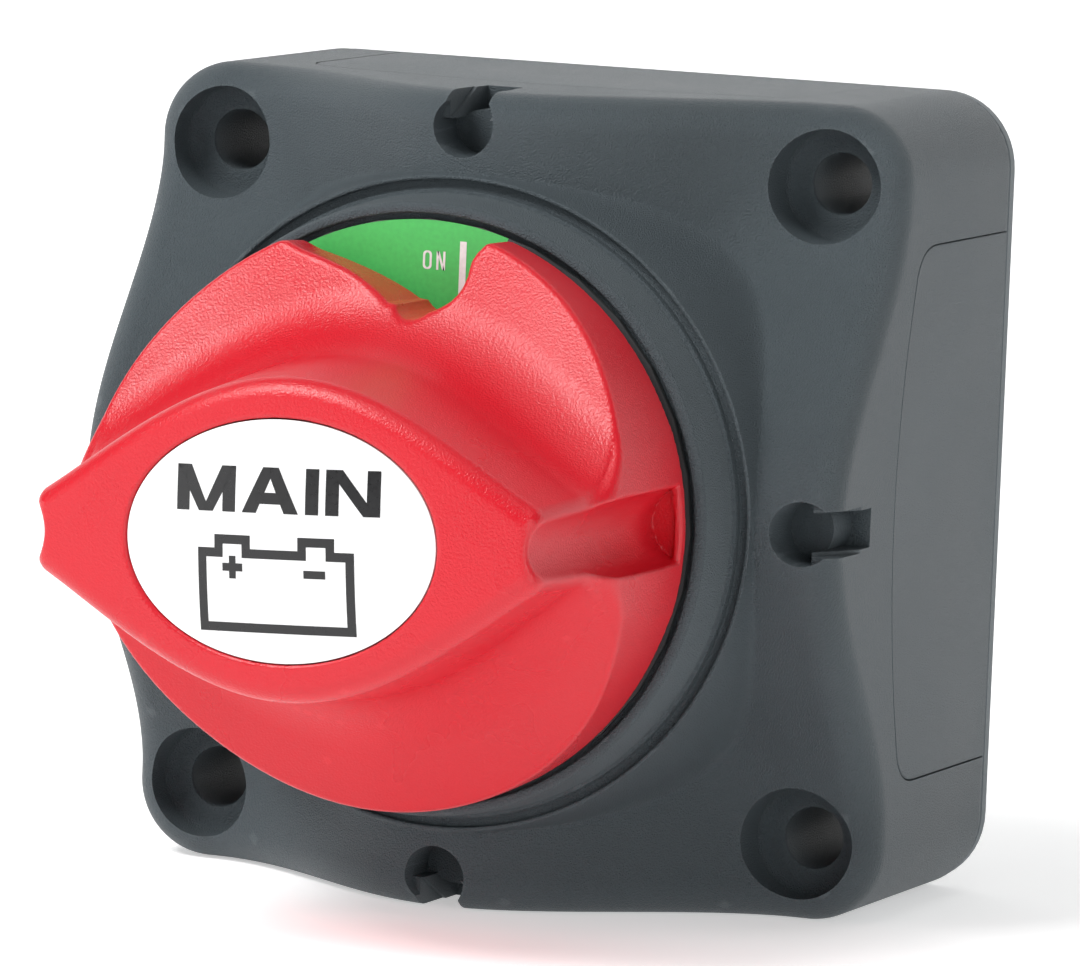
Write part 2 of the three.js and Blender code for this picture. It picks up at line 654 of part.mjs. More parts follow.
function camRotorGeometry() {
  const [grooveLow, grooveTop] = SEAL_GROOVE;
  const neckTop = grooveTop + 1.2;
  const body = lathe([[0, ROTOR_LOW_H], [ROTOR_R, ROTOR_LOW_H], [ROTOR_R, ROTOR_TOP_H],
    [NECK_R, ROTOR_TOP_H], [NECK_R, grooveLow], [DRIVER_R, grooveLow], [DRIVER_R, grooveTop],
    [NECK_R, grooveTop], [NECK_R, neckTop], [0, neckTop]], 32);
  const driver = prism(hexagon(DRIVER_FLATS), neckTop - 0.2, DRIVER_TOP_H);
  const ramp = () => sector(RAMP_IN_R, RAMP_OUT_R, RAMP_START, RAMP_END,
    (angle) => RAMP_H - RISE_PER_DEGREE * angle, () => ROTOR_LOW_H + 0.6);
  const stopLug = sector(ROTOR_R - 1, 17, 38.6, 51.4, () => ROTOR_LOW_H + 0.1, () => ROTOR_TOP_H - 0.1);
  const notches = QUARTERS.map((k) =>
    rod(1.6, ROTOR_LOW_H - 0.2, 45, 15.6, 0, 14).rotateZ((k * Math.PI) / 2));
  const solid = join(body, driver, ...halfTurns(ramp), stopLug);
  return cut(solid, ...notches, rod(2, 49.5, 70, 0, 0, 12));
}

const rotorORingGeometry = () => {
  const middle = (SEAL_GROOVE[0] + SEAL_GROOVE[1]) / 2;
  const section = Array.from({ length: 6 }, (_, i) => {
    const t = (2 * Math.PI * i) / 6;
    return [SEAL_R + SEAL_WIRE_R * Math.cos(t), middle + SEAL_WIRE_R * Math.sin(t)];
  });
  return lathe(section, 20);
};

// A leaf pressed into a vee that drops into the rotor's notches.
function detentSpringGeometry(side) {
  const leaf = [[17.2, -9.6], [16.4, -4], [15.7, -1.5], [14.6, 0], [15.7, 1.5], [16.4, 4], [17.2, 9.6]];
  const back = leaf.map(([x, y]) => [x + 0.45, y * 0.985]).reverse();
  const strip = prism(polygonShape([...leaf, ...back]), ROTOR_LOW_H + 0.3, ROTOR_TOP_H - 0.3);
  return strip.rotateZ(side > 0 ? 0 : Math.PI);
}

function contactCarrierGeometry() {
  const follower = () => sector(RAMP_IN_R, RAMP_OUT_R - 0.3, 0, FOLLOWER_SPAN, () => CARRIER_TOP_H - 0.5,
    (angle) => RAMP_H - GAP - RISE_PER_DEGREE * angle);
  const wing = () => join(
    block(-3, 3, 12, 17.5, CARRIER_LOW_H, CARRIER_TOP_H),
    block(-3, 3, 14.6, 17.5, CARRIER_LOW_H, CARRIER_TOP_H + 2.6),
  );
  return join(
    rod(CARRIER_R, CARRIER_LOW_H, CARRIER_TOP_H, 0, 0, 28),
    rod(1.8, 23.9, CARRIER_LOW_H + 0.5, 0, 0, 12),
    ring(5.2, 6.8, CARRIER_LOW_H - 1.6, CARRIER_LOW_H + 0.5, 20),
    ...halfTurns(follower),
    ...halfTurns(wing),
  );
}

function contactBridgeGeometry() {
  const [a, b] = [BRIDGE_LENGTH / 2, BRIDGE_WIDTH / 2];
  const corner = 2;
  const shape = polygonShape([[a, -b + corner], [a, b - corner], [a - corner, b], [-a + corner, b],
    [-a, b - corner], [-a, -b + corner], [-a + corner, -b], [a - corner, -b]]);
  const bar = prism(shape, BRIDGE_LOW_H, BRIDGE_LOW_H + BRIDGE_T);
  return cut(bar, rod(2.2, 20, 40, 0, 0, 16));
}

const bridgeClipGeometry = () => ring(2.1, 3.5, 24.5, 25.7, 16);
const bridgeSpringGeometry = () => coil(4, 0.4, BRIDGE_LOW_H + BRIDGE_T + GAP, CARRIER_LOW_H - GAP, 2);
const returnSpringGeometry = () => coil(4.7, 0.45, SPRING_CUP_H + GAP, BRIDGE_LOW_H - GAP, 3.5);

// ---------------------------------------------------------------- terminals

function terminalBaseGeometry() {
  const low = BASE_TOP_H - BASE_T;
  const studs = [-STUD_X, STUD_X].map((x) => rod(STUD_R + 0.4, 0, BEYOND, x, 0, 20));
  const screws = CORNERS.map(([sx, sy]) => rod(1.9, 0, BEYOND, sx * BASE_SCREW_AT, sy * BASE_SCREW_AT, 10));
  const plate = prism(roundedSquare(BASE_HALF, 4), low, BASE_TOP_H, 5);
  const barrier = block(-1, 1, -19, 19, 8, low + 0.5);
  const springCup = rod(SPRING_CUP_R, SPRING_CUP_H, BEYOND, 0, 0, 20);
  return cut(join(plate, barrier), ...studs, ...screws, springCup);
}

// A terminal stud: contact pad in front of the base, threaded shank behind it.
function studGeometry(x) {
  const padLow = BASE_TOP_H + GAP;
  const pitch = 1.5;
  const threadTop = 15;
  const turns = Math.floor((threadTop - STUD_END_H - 1) / pitch);
  const thread = Array.from({ length: turns }, (_, i) => {
    const crest = STUD_END_H + 1 + pitch * (i + 0.5);
    return [[STUD_R, crest], [STUD_R - 0.75, crest + pitch / 2]];
  }).flat();
  const profile = [[0, STUD_END_H], [STUD_R - 1, STUD_END_H], ...thread, [STUD_R, threadTop],
    [STUD_R, padLow], [STUD_PAD_R, padLow], [STUD_PAD_R, STUD_PAD_TOP_H - 0.6],
    [STUD_PAD_R - 0.6, STUD_PAD_TOP_H], [0, STUD_PAD_TOP_H]];
  return lathe(profile, 12).translate(x, 0, 0);
}

const NUT_LOW_H = 5.4;
const NUT_T = 8;
const SPRING_WASHER_T = 2.2;
const FLAT_WASHER_T = 1.8;

function nutGeometry(x) {
  const hex = prism(hexagon(17), NUT_LOW_H, NUT_LOW_H + NUT_T).rotateZ(Math.PI / 2);
  const envelope = lathe([[0, NUT_LOW_H], [8.6, NUT_LOW_H], [9.9, NUT_LOW_H + 0.8],
    [9.9, NUT_LOW_H + NUT_T - 0.8], [8.6, NUT_LOW_H + NUT_T], [0, NUT_LOW_H + NUT_T]], 24);
  const chamfered = fromManifold(toManifold(hex).intersect(toManifold(envelope)));
  return cut(chamfered, rod(STUD_R + GAP, 0, 20, 0, 0, 16)).translate(x, 0, 0);
}

function springWasherGeometry(x) {
  const low = NUT_LOW_H + NUT_T + GAP;
  const split = block(0, 12, -0.6, 0.6, 0, 40).rotateZ(Math.PI / 2);
  return cut(ring(5.2, 8.9, low, low + SPRING_WASHER_T), split).translate(x, 0, 0);
}

function flatWasherGeometry(x) {
  const low = NUT_LOW_H + NUT_T + SPRING_WASHER_T + 2 * GAP;
  return ring(5.2, 10, low, low + FLAT_WASHER_T, 24).translate(x, 0, 0);
}

function baseScrewGeometry(x, y) {
  const seat = BASE_TOP_H - BASE_T - GAP;
  const screw = lathe([[0, seat - 2.4], [2.2, seat - 2.4], [3.2, seat - 1.2], [3.2, seat], [1.45, seat],
    [1.45, 26.8], [0.6, 27.8], [0, 27.8]], 12);
  const cross = [0, 1].map((k) => block(-1.6, 1.6, -0.35, 0.35, 0, seat - 1.2).rotateZ((k * Math.PI) / 2));
  return cut(screw, ...cross).translate(x, y, 0);
}

// ---------------------------------------------------------------- assembly

const battery_switch = new THREE.Group();

function add(name, geometry, material, parent = battery_switch) {
  const mesh = new THREE.Mesh(weld(geometry), material);
  mesh.name = name;
  parent.add(mesh);
}

add('housing', housingGeometry(), MATERIALS.housing);
add('rear_cover', rearCoverGeometry(), MATERIALS.cover);
['right', 'top', 'left', 'bottom'].forEach((side, quarter) => {
  add(`side_plate_${side}`, sidePlateGeometry(quarter), MATERIALS.housing);
});
add('dial_disc', dialGeometry(), MATERIALS.dial);

const grip = new THREE.Group();
grip.rotation.z = KNOB_TRIM;
battery_switch.add(grip);
add('knob', knobGeometry(), MATERIALS.knob, grip);
add('label_plate', labelGeometry(), MATERIALS.label, grip);
add('knob_screw', knobScrewGeometry(), MATERIALS.steel);
add('knob_washer', knobWasherGeometry(), MATERIALS.steel);

add('cam_rotor', camRotorGeometry(), MATERIALS.acetal);
add('rotor_o_ring', rotorORingGeometry(), MATERIALS.rubber);
add('detent_spring_right', detentSpringGeometry(1), MATERIALS.spring);
add('detent_spring_left', detentSpringGeometry(-1), MATERIALS.spring);
add('contact_carrier', contactCarrierGeometry(), MATERIALS.moulding);
add('bridge_spring', bridgeSpringGeometry(), MATERIALS.spring);
add('contact_bridge', contactBridgeGeometry(), MATERIALS.copper);
add('bridge_clip', bridgeClipGeometry(), MATERIALS.steel);
add('return_spring', returnSpringGeometry(), MATERIALS.spring);

add('terminal_base', terminalBaseGeometry(), MATERIALS.moulding);
[['left', -STUD_X], ['right', STUD_X]].forEach(([side, x]) => {
  add(`terminal_stud_${side}`, studGeometry(x), MATERIALS.tinned);
  add(`terminal_nut_${side}`, nutGeometry(x), MATERIALS.steel);
  add(`spring_washer_${side}`, springWasherGeometry(x), MATERIALS.steel);
  add(`flat_washer_${side}`, flatWasherGeometry(x), MATERIALS.steel);
});
CORNERS.forEach(([sx, sy], i) => {
  add(`base_screw_${i + 1}`, baseScrewGeometry(sx * BASE_SCREW_AT, sy * BASE_SCREW_AT), MATERIALS.steel);
});

battery_switch.rotation.x = Math.PI / 2;

export default battery_switch;
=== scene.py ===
import json
import math

import bmesh
import bpy
import numpy as np
from mathutils import Matrix, Vector


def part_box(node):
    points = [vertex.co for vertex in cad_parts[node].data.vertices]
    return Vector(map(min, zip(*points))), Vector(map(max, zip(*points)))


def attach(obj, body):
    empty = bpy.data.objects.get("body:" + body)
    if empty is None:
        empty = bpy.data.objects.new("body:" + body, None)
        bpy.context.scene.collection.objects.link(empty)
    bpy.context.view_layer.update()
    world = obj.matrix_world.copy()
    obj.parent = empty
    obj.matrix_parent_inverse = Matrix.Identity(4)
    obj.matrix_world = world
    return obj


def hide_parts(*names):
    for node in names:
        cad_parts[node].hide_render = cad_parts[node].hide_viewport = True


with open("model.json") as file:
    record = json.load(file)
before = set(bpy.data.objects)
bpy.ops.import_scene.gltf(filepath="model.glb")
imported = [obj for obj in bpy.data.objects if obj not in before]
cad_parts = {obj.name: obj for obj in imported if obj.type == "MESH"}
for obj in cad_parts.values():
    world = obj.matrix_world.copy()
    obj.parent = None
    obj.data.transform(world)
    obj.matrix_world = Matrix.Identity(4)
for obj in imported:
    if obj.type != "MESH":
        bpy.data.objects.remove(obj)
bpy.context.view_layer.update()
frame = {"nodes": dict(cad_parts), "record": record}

# The shapes are drawn in millimetres in the switch's own axes: x to the right, y up and
# h out of the bulkhead, with h = 0 on the mounting face. to_world() turns them into the
# frame, where the knob faces -Y and +Z is up.
MM = 0.001


def node_range(node, axis):
    """A CAD node's lowest and highest place along x, y (up) or h (outwards), in mm."""
    low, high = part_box(node)
    if axis == "h":
        return -high.y / MM, -low.y / MM
    index = 0 if axis == "x" else 2
    return low[index] / MM, high[index] / MM


# ------------------------------------------------------------------ dimensions (mm)

HALF = node_range("housing", "x")[1]
BACK_H, TUBE_H = node_range("housing", "h")
COVER_H = node_range("side_plate_top", "h")[0]
CORNER_R = 6.5
CORNER_H = 28.0
CREST_RISE = 13.0
CREST_REACH = 27.0
CREST_POWER = 0.85
CREST_SOFTNESS = 6.0  # how far the crests blend into each other along the diagonals
EDGE_R = 3.0  # rounding of the housing's front edge
BACK_EDGE_R = 0.25
SHOULDER_STEEPNESS = 6  # rise of the collar's outer wall for each mm inwards
SHARP_ANGLE = 38.0  # degrees between faces from which an edge of the housing is crisp
HOLLOW_INSET = 9.5  # from the housing's sides to its hollow
HOLLOW_CORNER_R = 6
HOLLOW_TOP_H = CORNER_H - 6

COLLAR_R = 27.57
COLLAR_H = 41.64
GROOVE_OUTER_R = 27.2
GROOVE_INNER_R = 26.42
GROOVE_H = 40.95
GROOVE_LIP_H = COLLAR_H + 0.2  # top of the groove's inner wall
TUBE_LIP_R = 26.1  # foot of the tube, on that wall
TUBE_R = 25.68
TUBE_ROUNDING = 0.7
TUBE_INNER_ROUNDING = 0.2
DIAL_RECESS_R = 24.75
DIAL_H = node_range("dial_disc", "h")[1]
DIAL_FLOOR_H = node_range("dial_disc", "h")[0] - 0.3
NECK_BORE_R = 7.2
TUBE_BOTTOM_H = 43.2

SCREW_AT = 27.73
SCREW_HOLE_R = 2.575
COUNTERBORE_R = 4.8
COUNTERBORE_H = 24.4
COUNTERBORE_FILLET = 1.0
HOLE_CHAMFER = 0.3
COVER_HOLE_R = 4.2

SLOT_X = 31.7
SLOT_R = 2.7
SLOT_HALF = 1.95
SLOT_HOLE_FLOOR_H = 36.0
SLOT_FLOOR_H = 32.0
LEDGE_X = 32.1  # the ledges that narrow each slot start here
LEDGE_H = 39.0
LEDGE_SLOPE = 2.0  # how much lower their front lies for each mm outwards
LEDGE_HALF = 1.65
STEP_X = LEDGE_X + 0.2  # the hole's floor ends here, at the sides of the channel
OVERLAP = 0.3  # how far stacked cutters reach into each other

PLATE_HALF = node_range("side_plate_top", "x")[1]
PLATE_CREST_H = node_range("side_plate_top", "h")[1]
PLATE_SHOULDER_H = 19.0
PLATE_SHOULDER_RISE = 4.6  # from the end of its upright edges to the foot of its curved top
PLATE_SHOULDER_RUN = 3.4
PLATE_BOW = 2.9  # how far the top curve's control point stands over the crest
PLATE_T = 1.4
PLATE_FIT = 0.2  # how much deeper the pocket is than its plate
HAIRLINE = 0.11

KNOB_TURN = math.radians(2.5)
KNOB_LOW_H = node_range("knob", "h")[0]
KNOB_RIM_R = 24.8
KNOB_WIDEST_H = 54.0
KNOB_BARREL = 0.0055  # how far the wall draws in, per mm squared above or below its widest
KNOB_RIM_H = 52.8
KNOB_RIM_RISE = 8.0  # extra rim height at the ends of the handle
RIM_RISE_POWER = 3.7
SKIRT_RISE = 3.4  # the skirt climbs this much from its rim over SKIRT_REACH inwards
SKIRT_REACH = 8.2
SKIRT_STEEPNESS = 0.92  # keeps the sloping skirt's field close to a true distance
KNOB_EDGE_R = 0.5
KNOB_FINE_EDGE_R = 0.3
HANDLE_TOP_H = 74.9
HANDLE_END = 22.3
HANDLE_TIP_HALF = 2.6
HANDLE_SWELL = 10.5
HANDLE_SWELL_REACH = 23
HANDLE_SWELL_POWER = 0.56
HANDLE_SIDE_DRAFT = 0.075
HANDLE_END_DRAFT = 0.06
HANDLE_FILLET = 5.0  # between the handle and the skirt
HANDLE_EDGE_R = 0.8
CROWN_EDGE_R = 1.6
CROWN_BOW_X = 0.0016  # fall of the crown, per mm squared from the middle
CROWN_BOW_Y = 0.0035
WINDOW_LEAN = 0.09  # the window's left wall leans in by this much for each mm of height
SCALLOP_R = 3.2
SCALLOP_X = 24.8
SCALLOP_H = 63.0
SCALLOP_LEAN = 0.0184
SCALLOP_FLOOR_H = 49.6
POCKET_FLOOR_H = KNOB_LOW_H + 0.7  # a narrow pocket sinks below the groove's open end
POCKET_WALL_R = 24.0
LABEL_A = 13.65
LABEL_B = 9.9
LABEL_GAP = 0.08
LABEL_FLOOR_H = 72.2
LABEL_EDGE_H = 74.4
LABEL_CREST_H = node_range("label_plate", "h")[1]

SECTOR_INNER_R = 14.0
SECTOR_OUTER_R = 24.2
ON_SECTOR = (73, 134)  # degrees, anticlockwise from the right
OFF_SECTOR = (134, 230)
MARK_BASE = 20.1  # distance of the dial's words from its centre
MARK_HEIGHT = 1.55
MARK_WEIGHT = 0.2
MARK_GAP = 0.42
POINTER_BAR = (2.75, 18.2, 3.35, 22.6)
INK_LIFT = 0.01
MARK_LIFT = 0.03
LABEL_INK_LIFT = 0.025

QUARTERS = range(4)


# ------------------------------------------------------------------ meshes

def to_world(points):
    """Points in the switch's axes, in mm, as frame coordinates in metres."""
    points = np.asarray(points, float)
    return np.stack([points[:, 0], -points[:, 2], points[:, 1]], axis=1) * MM


def mesh_object(name, points, faces, smooth_angle=35.0):
    """An object from points in mm and a list or array of faces."""
    mesh = bpy.data.meshes.new(name)
    mesh.from_pydata(to_world(points).tolist(), [], [list(map(int, f)) for f in faces])
    mesh.validate()
    mesh.polygons.foreach_set("use_smooth", [True] * len(mesh.polygons))
    mesh.set_sharp_from_angle(angle=math.radians(smooth_angle))
    mesh.update()
    obj = bpy.data.objects.new(name, mesh)
    bpy.context.scene.collection.objects.link(obj)
    return obj


def loft(rings, cap=True):
    """Points and faces skinning a stack of rings, closed with a flat face at both ends."""
    rings = [np.asarray(ring, float) for ring in rings]
    count = len(rings[0])
    points = np.concatenate(rings)
    faces = []
    for k in range(len(rings) - 1):
        low, high = k * count, (k + 1) * count
        for i in range(count):
            j = (i + 1) % count
            faces.append((low + i, low + j, high + j, high + i))
    if cap:
        faces.append(tuple(range(count))[::-1])
        faces.append(tuple(range(len(points) - count, len(points))))
    return points, faces


def lathe(profile, sides=256):
    """Points and faces of a closed (radius, h) profile turned about the axis."""
    angles = np.linspace(0, 2 * math.pi, sides, endpoint=False)
    rings = [[(r * math.cos(t), r * math.sin(t), h) for t in angles] for r, h in profile]
    points, faces = loft(rings + [rings[0]], cap=False)
    count = len(profile) * sides
    return points[:count], [tuple(v % count for v in face) for face in faces]


def extrude(outline, low, high):
    """Points and faces of a flat outline raised from low to high."""
    return loft([[(x, y, low) for x, y in outline], [(x, y, high) for x, y in outline]])


def turned(points, angle):
    """Points turned about the axis, anticlockwise seen from the front."""
    points = np.array(points, float)
    c, s = math.cos(angle), math.sin(angle)
    x, y = points[:, 0].copy(), points[:, 1].copy()
    points[:, 0] = c * x - s * y
    points[:, 1] = s * x + c * y
    return points


def curve_points(start, control, end, steps=10):
    """A quadratic curve without its first point."""
    t = np.linspace(0, 1, steps + 1)[1:, None]
    a, b, c = (np.array(p, float) for p in (start, control, end))
    return ((1 - t) ** 2 * a + 2 * t * (1 - t) * b + t**2 * c).tolist()


def arc_points(centre, radius, start, end, steps=10):
    t = np.radians(np.linspace(start, end, steps + 1))
    return np.stack([centre[0] + radius * np.cos(t), centre[1] + radius * np.sin(t)], 1).tolist()


def rounded_square_outline(half, radius, steps=12):
    inner = half - radius
    points = []
    for k, (sx, sy) in enumerate([(1, 1), (-1, 1), (-1, -1), (1, -1)]):
        points += arc_points((sx * inner, sy * inner), radius, 90 * k, 90 * k + 90, steps)
    return points


def spun(profile, x=0.0, y=0.0, sides=96):
    """Points and faces of a solid turned from an open (radius, h) profile, capped flat."""
    angles = np.linspace(0, 2 * math.pi, sides, endpoint=False)
    return loft([[(x + r * math.cos(t), y + r * math.sin(t), h) for t in angles] for r, h in profile])


def cut(obj, cutter):
    """Takes one closed solid away from another and removes the cutter."""
    modifier = obj.modifiers.new("cut", "BOOLEAN")
    modifier.operation = "DIFFERENCE"
    modifier.solver = "MANIFOLD"
    modifier.object = cutter
    depsgraph = bpy.context.evaluated_depsgraph_get()
    result = bpy.data.meshes.new_from_object(obj.evaluated_get(depsgraph))
    obj.modifiers.clear()
    obj.data = result
    bpy.data.objects.remove(cutter)


# ------------------------------------------------------------------ distance fields

def round_intersect(a, b, radius):
    """What lies in both shapes, with their shared edge rounded."""
    corner = np.hypot(np.maximum(radius + a, 0), np.maximum(radius + b, 0))
    return np.minimum(np.maximum(a, b), -radius) + corner


def round_union(a, b, radius):
    """What lies in either shape, with a fillet where they meet."""
    corner = np.hypot(np.maximum(radius - a, 0), np.maximum(radius - b, 0))
    return np.maximum(np.minimum(a, b), radius) - corner


def round_cut(a, b, radius):
    return round_intersect(a, -b, radius)


def square_field(x, y, half, radius):
    qx = np.abs(x) - (half - radius)
    qy = np.abs(y) - (half - radius)
    return np.hypot(np.maximum(qx, 0), np.maximum(qy, 0)) + np.minimum(np.maximum(qx, qy), 0) - radius


def ellipse_field(x, y, a, b):
    size = np.hypot(x / a, y / b)
    return size * (size - 1) / np.maximum(np.hypot(x / a**2, y / b**2), 1e-6)


def polygon_field(x, y, outline):
    """Signed distance to a closed outline, negative inside."""
    x, y = np.broadcast_arrays(x, y)
    nearest = np.full(x.shape, np.inf)
    inside = np.zeros(x.shape, bool)
    for (x0, y0), (x1, y1) in zip(outline, outline[1:] + outline[:1]):
        dx, dy = x1 - x0, y1 - y0
        along = np.clip(((x - x0) * dx + (y - y0) * dy) / (dx * dx + dy * dy), 0, 1)
        nearest = np.minimum(nearest, np.hypot(x - x0 - along * dx, y - y0 - along * dy))
        if y0 != y1:
            crosses = ((y0 <= y) != (y1 <= y)) & (x < x0 + (y - y0) * dx / (y1 - y0))
            inside ^= crosses
    return np.where(inside, -nearest, nearest)


def gradient(field, points, reach):
    steps = np.eye(3) * reach
    columns = [field(*(points + s).T) - field(*(points - s).T) for s in steps]
    return np.stack(columns, axis=1) / (2 * reach)


def smooth_from_field(obj, field):
    """Shades the faces that lie on a field's surface by its slope, and leaves the others."""
    slope_reach, tolerance, least_agreement = 0.06, 0.02, 0.85
    mesh = obj.data
    places = np.empty(3 * len(mesh.vertices))
    mesh.vertices.foreach_get("co", places)
    x, back, y = places.reshape(-1, 3).T / MM
    points = np.stack([x, y, -back], axis=1)
    slope = gradient(field, points, slope_reach)
    slope /= np.maximum(np.linalg.norm(slope, axis=1, keepdims=True), 1e-6)
    slope = np.stack([slope[:, 0], -slope[:, 2], slope[:, 1]], axis=1)
    on_surface = np.abs(field(*points.T)) < tolerance

    vertex = np.empty(len(mesh.loops), int)
    mesh.loops.foreach_get("vertex_index", vertex)
    sizes = np.empty(len(mesh.polygons), int)
    mesh.polygons.foreach_get("loop_total", sizes)
    facing = np.empty(3 * len(mesh.polygons))
    mesh.polygons.foreach_get("normal", facing)
    facing = np.repeat(facing.reshape(-1, 3), sizes, axis=0)
    normals = np.empty(3 * len(mesh.loops))
    mesh.corner_normals.foreach_get("vector", normals)
    normals = normals.reshape(-1, 3)
    agreement = (facing * slope[vertex]).sum(axis=1)
    follows = on_surface[vertex] & (agreement > least_agreement)
    normals[follows] = slope[vertex][follows]
    mesh.normals_split_custom_set(normals.tolist())
    return obj


def surface_net(field, low, high, step):
    """A quad mesh of the surface where the field is zero, its points lying on it."""
    axes = [np.arange(a, b + step, step) for a, b in zip(low, high)]
    values = field(axes[0][:, None, None], axes[1][None, :, None], axes[2][None, None, :])
    inside = values < 0
    corners = [(i, j, k) for i in (0, 1) for j in (0, 1) for k in (0, 1)]
    size = [n - 1 for n in inside.shape]

    def shifted(corner):
        return inside[tuple(slice(c, c + n) for c, n in zip(corner, size))]

    total = sum(shifted(c).astype(np.int8) for c in corners)
    active = (total > 0) & (total < 8)
    cells = np.argwhere(active)
    number = np.full(active.shape, -1)
    number[active] = np.arange(len(cells))

    places = np.zeros((len(cells), 3))
    crossings = np.zeros(len(cells))
    for a in corners:
        for axis in range(3):
            if a[axis]:
                continue
            b = tuple(v + (i == axis) for i, v in enumerate(a))
            at_a = values[tuple((cells + a).T)]
            at_b = values[tuple((cells + b).T)]
            crossed = (at_a < 0) != (at_b < 0)
            share = np.where(crossed, at_a / np.where(crossed, at_a - at_b, 1), 0)
            edge = np.array(a, float) + share[:, None] * (np.array(b) - np.array(a))
            places += np.where(crossed[:, None], edge, 0)
            crossings += crossed
    points = np.array(low) + step * (cells + places / crossings[:, None])

    passes, slope_reach, least_slope = 4, 0.01, 0.05
    for _ in range(passes):
        slope = gradient(field, points, slope_reach)
        length = np.maximum((slope**2).sum(1), least_slope)
        move = slope * (field(*points.T) / length)[:, None]
        points -= np.clip(move, -step / 2, step / 2)
    return points, net_faces(inside, number)


def net_faces(inside, number):
    """One quad for each grid edge that crosses the surface."""
    faces = []
    for axis in range(3):
        u, v = (axis + 1) % 3, (axis + 2) % 3
        first = [slice(1, -1)] * 3
        first[axis] = slice(0, -1)
        second = list(first)
        second[axis] = slice(1, None)
        near, far = inside[tuple(first)], inside[tuple(second)]
        edges = np.argwhere(near != far)
        leaving = near[tuple(edges.T)]
        edges[:, u] += 1
        edges[:, v] += 1
        ring = []
        for du, dv in ((0, 0), (1, 0), (1, 1), (0, 1)):
            cell = edges.copy()
            cell[:, u] -= du
            cell[:, v] -= dv
            ring.append(number[tuple(cell.T)])
        quads = np.stack(ring, axis=1)
        quads[~leaving] = quads[~leaving][:, ::-1]
        faces.append(quads)
    return np.concatenate(faces)


# ------------------------------------------------------------------ housing

def front_height(x, y):
    """The sculpted front: crests at the middle of each side, flat corners."""
    a, b = np.abs(x), np.abs(y)
    overlap = np.maximum(CREST_SOFTNESS - np.abs(a - b), 0)
    nearest = np.minimum(a, b) - overlap**2 / (4 * CREST_SOFTNESS)
    nearest = np.clip(nearest, 0, CREST_REACH)
    wave = 0.5 * (1 + np.cos(np.pi * nearest / CREST_REACH))
    return CORNER_H + CREST_RISE * wave**CREST_POWER


def shoulder_height(x, y):
    """The front with the collar's steep wall blended into it."""
    front = front_height(x, y)
    wall = COLLAR_H - SHOULDER_STEEPNESS * (np.hypot(x, y) - COLLAR_R)
    softness = np.clip(0.6 * (COLLAR_H - front), 0.2, 5)
    overlap = np.maximum(softness - np.abs(front - wall), 0)
    return np.maximum(front, wall) + overlap**2 / (4 * softness)


def shoulder_field(x, y, h):
    """Roughly the distance to the front: its height above it, eased where it is steep."""
    reach = 0.05
    across = (shoulder_height(x + reach, y) - shoulder_height(x - reach, y)) / (2 * reach)
    up = (shoulder_height(x, y + reach) - shoulder_height(x, y - reach)) / (2 * reach)
    return (h - shoulder_height(x, y)) / np.sqrt(1 + across**2 + up**2)


def housing_field(x, y, h):
    outline = square_field(x, y, HALF, CORNER_R)
    body = round_intersect(outline, shoulder_field(x, y, h), EDGE_R)
    body = round_intersect(body, BACK_H - h, BACK_EDGE_R)
    spare = 0.8  # cut_collar() trims this off again
    return np.maximum(body, h - COLLAR_H - spare)


def plate_outline(grow):
    """Outline of a side plate as (along the side, h)."""
    half = PLATE_HALF + grow
    shoulder = PLATE_SHOULDER_H + grow
    bend = shoulder + 4
    crest = PLATE_CREST_H + PLATE_BOW + grow
    right_foot = (half - PLATE_SHOULDER_RUN, shoulder + PLATE_SHOULDER_RISE)
    left_foot = (PLATE_SHOULDER_RUN - half, shoulder + PLATE_SHOULDER_RISE)
    points = [(-half, COVER_H - grow), (half, COVER_H - grow), (half, shoulder)]
    points += curve_points((half, shoulder), (half, bend), right_foot)
    points += curve_points(right_foot, (0, crest), left_foot, 28)
    points += curve_points(left_foot, (-half, bend), (-half, shoulder))
    return points


def against_side(outline, depths, insets, quarter):
    """Rings of an outline stood up against one side, at growing distances outwards."""
    centre = np.mean(outline, axis=0)
    rings = []
    for depth, inset in zip(depths, insets):
        ring = np.array([(depth, *point) for point in outline], float)
        shrink = 1 - inset / PLATE_HALF
        ring[:, 1:] = centre + (ring[:, 1:] - centre) * shrink
        rings.append(turned(ring, quarter * math.pi / 2))
    return loft(rings)


def cut_collar(housing):
    """Trims the collar wall to a rounded rim and sinks the groove inside it."""
    rim = COLLAR_H
    above = COLLAR_H + 2
    outside = COLLAR_R + 3
    inside = 12
    profile = [(inside, GROOVE_H), (GROOVE_OUTER_R, GROOVE_H), (GROOVE_OUTER_R + 0.02, rim - 0.12),
               (GROOVE_OUTER_R + 0.06, rim - 0.04), (GROOVE_OUTER_R + 0.14, rim),
               (COLLAR_R - 0.12, rim), (COLLAR_R - 0.02, rim - 0.04), (COLLAR_R + 0.05, rim - 0.12),
               (COLLAR_R + 0.09, rim - 0.22), (outside, rim - 0.22), (outside, above), (inside, above)]
    cut(housing, mesh_object("collar_cut", *lathe(profile, 360)))
    middle = [(inside + 1, GROOVE_H), (inside + 1, above)]
    cut(housing, mesh_object("middle_cut", *spun(middle)))


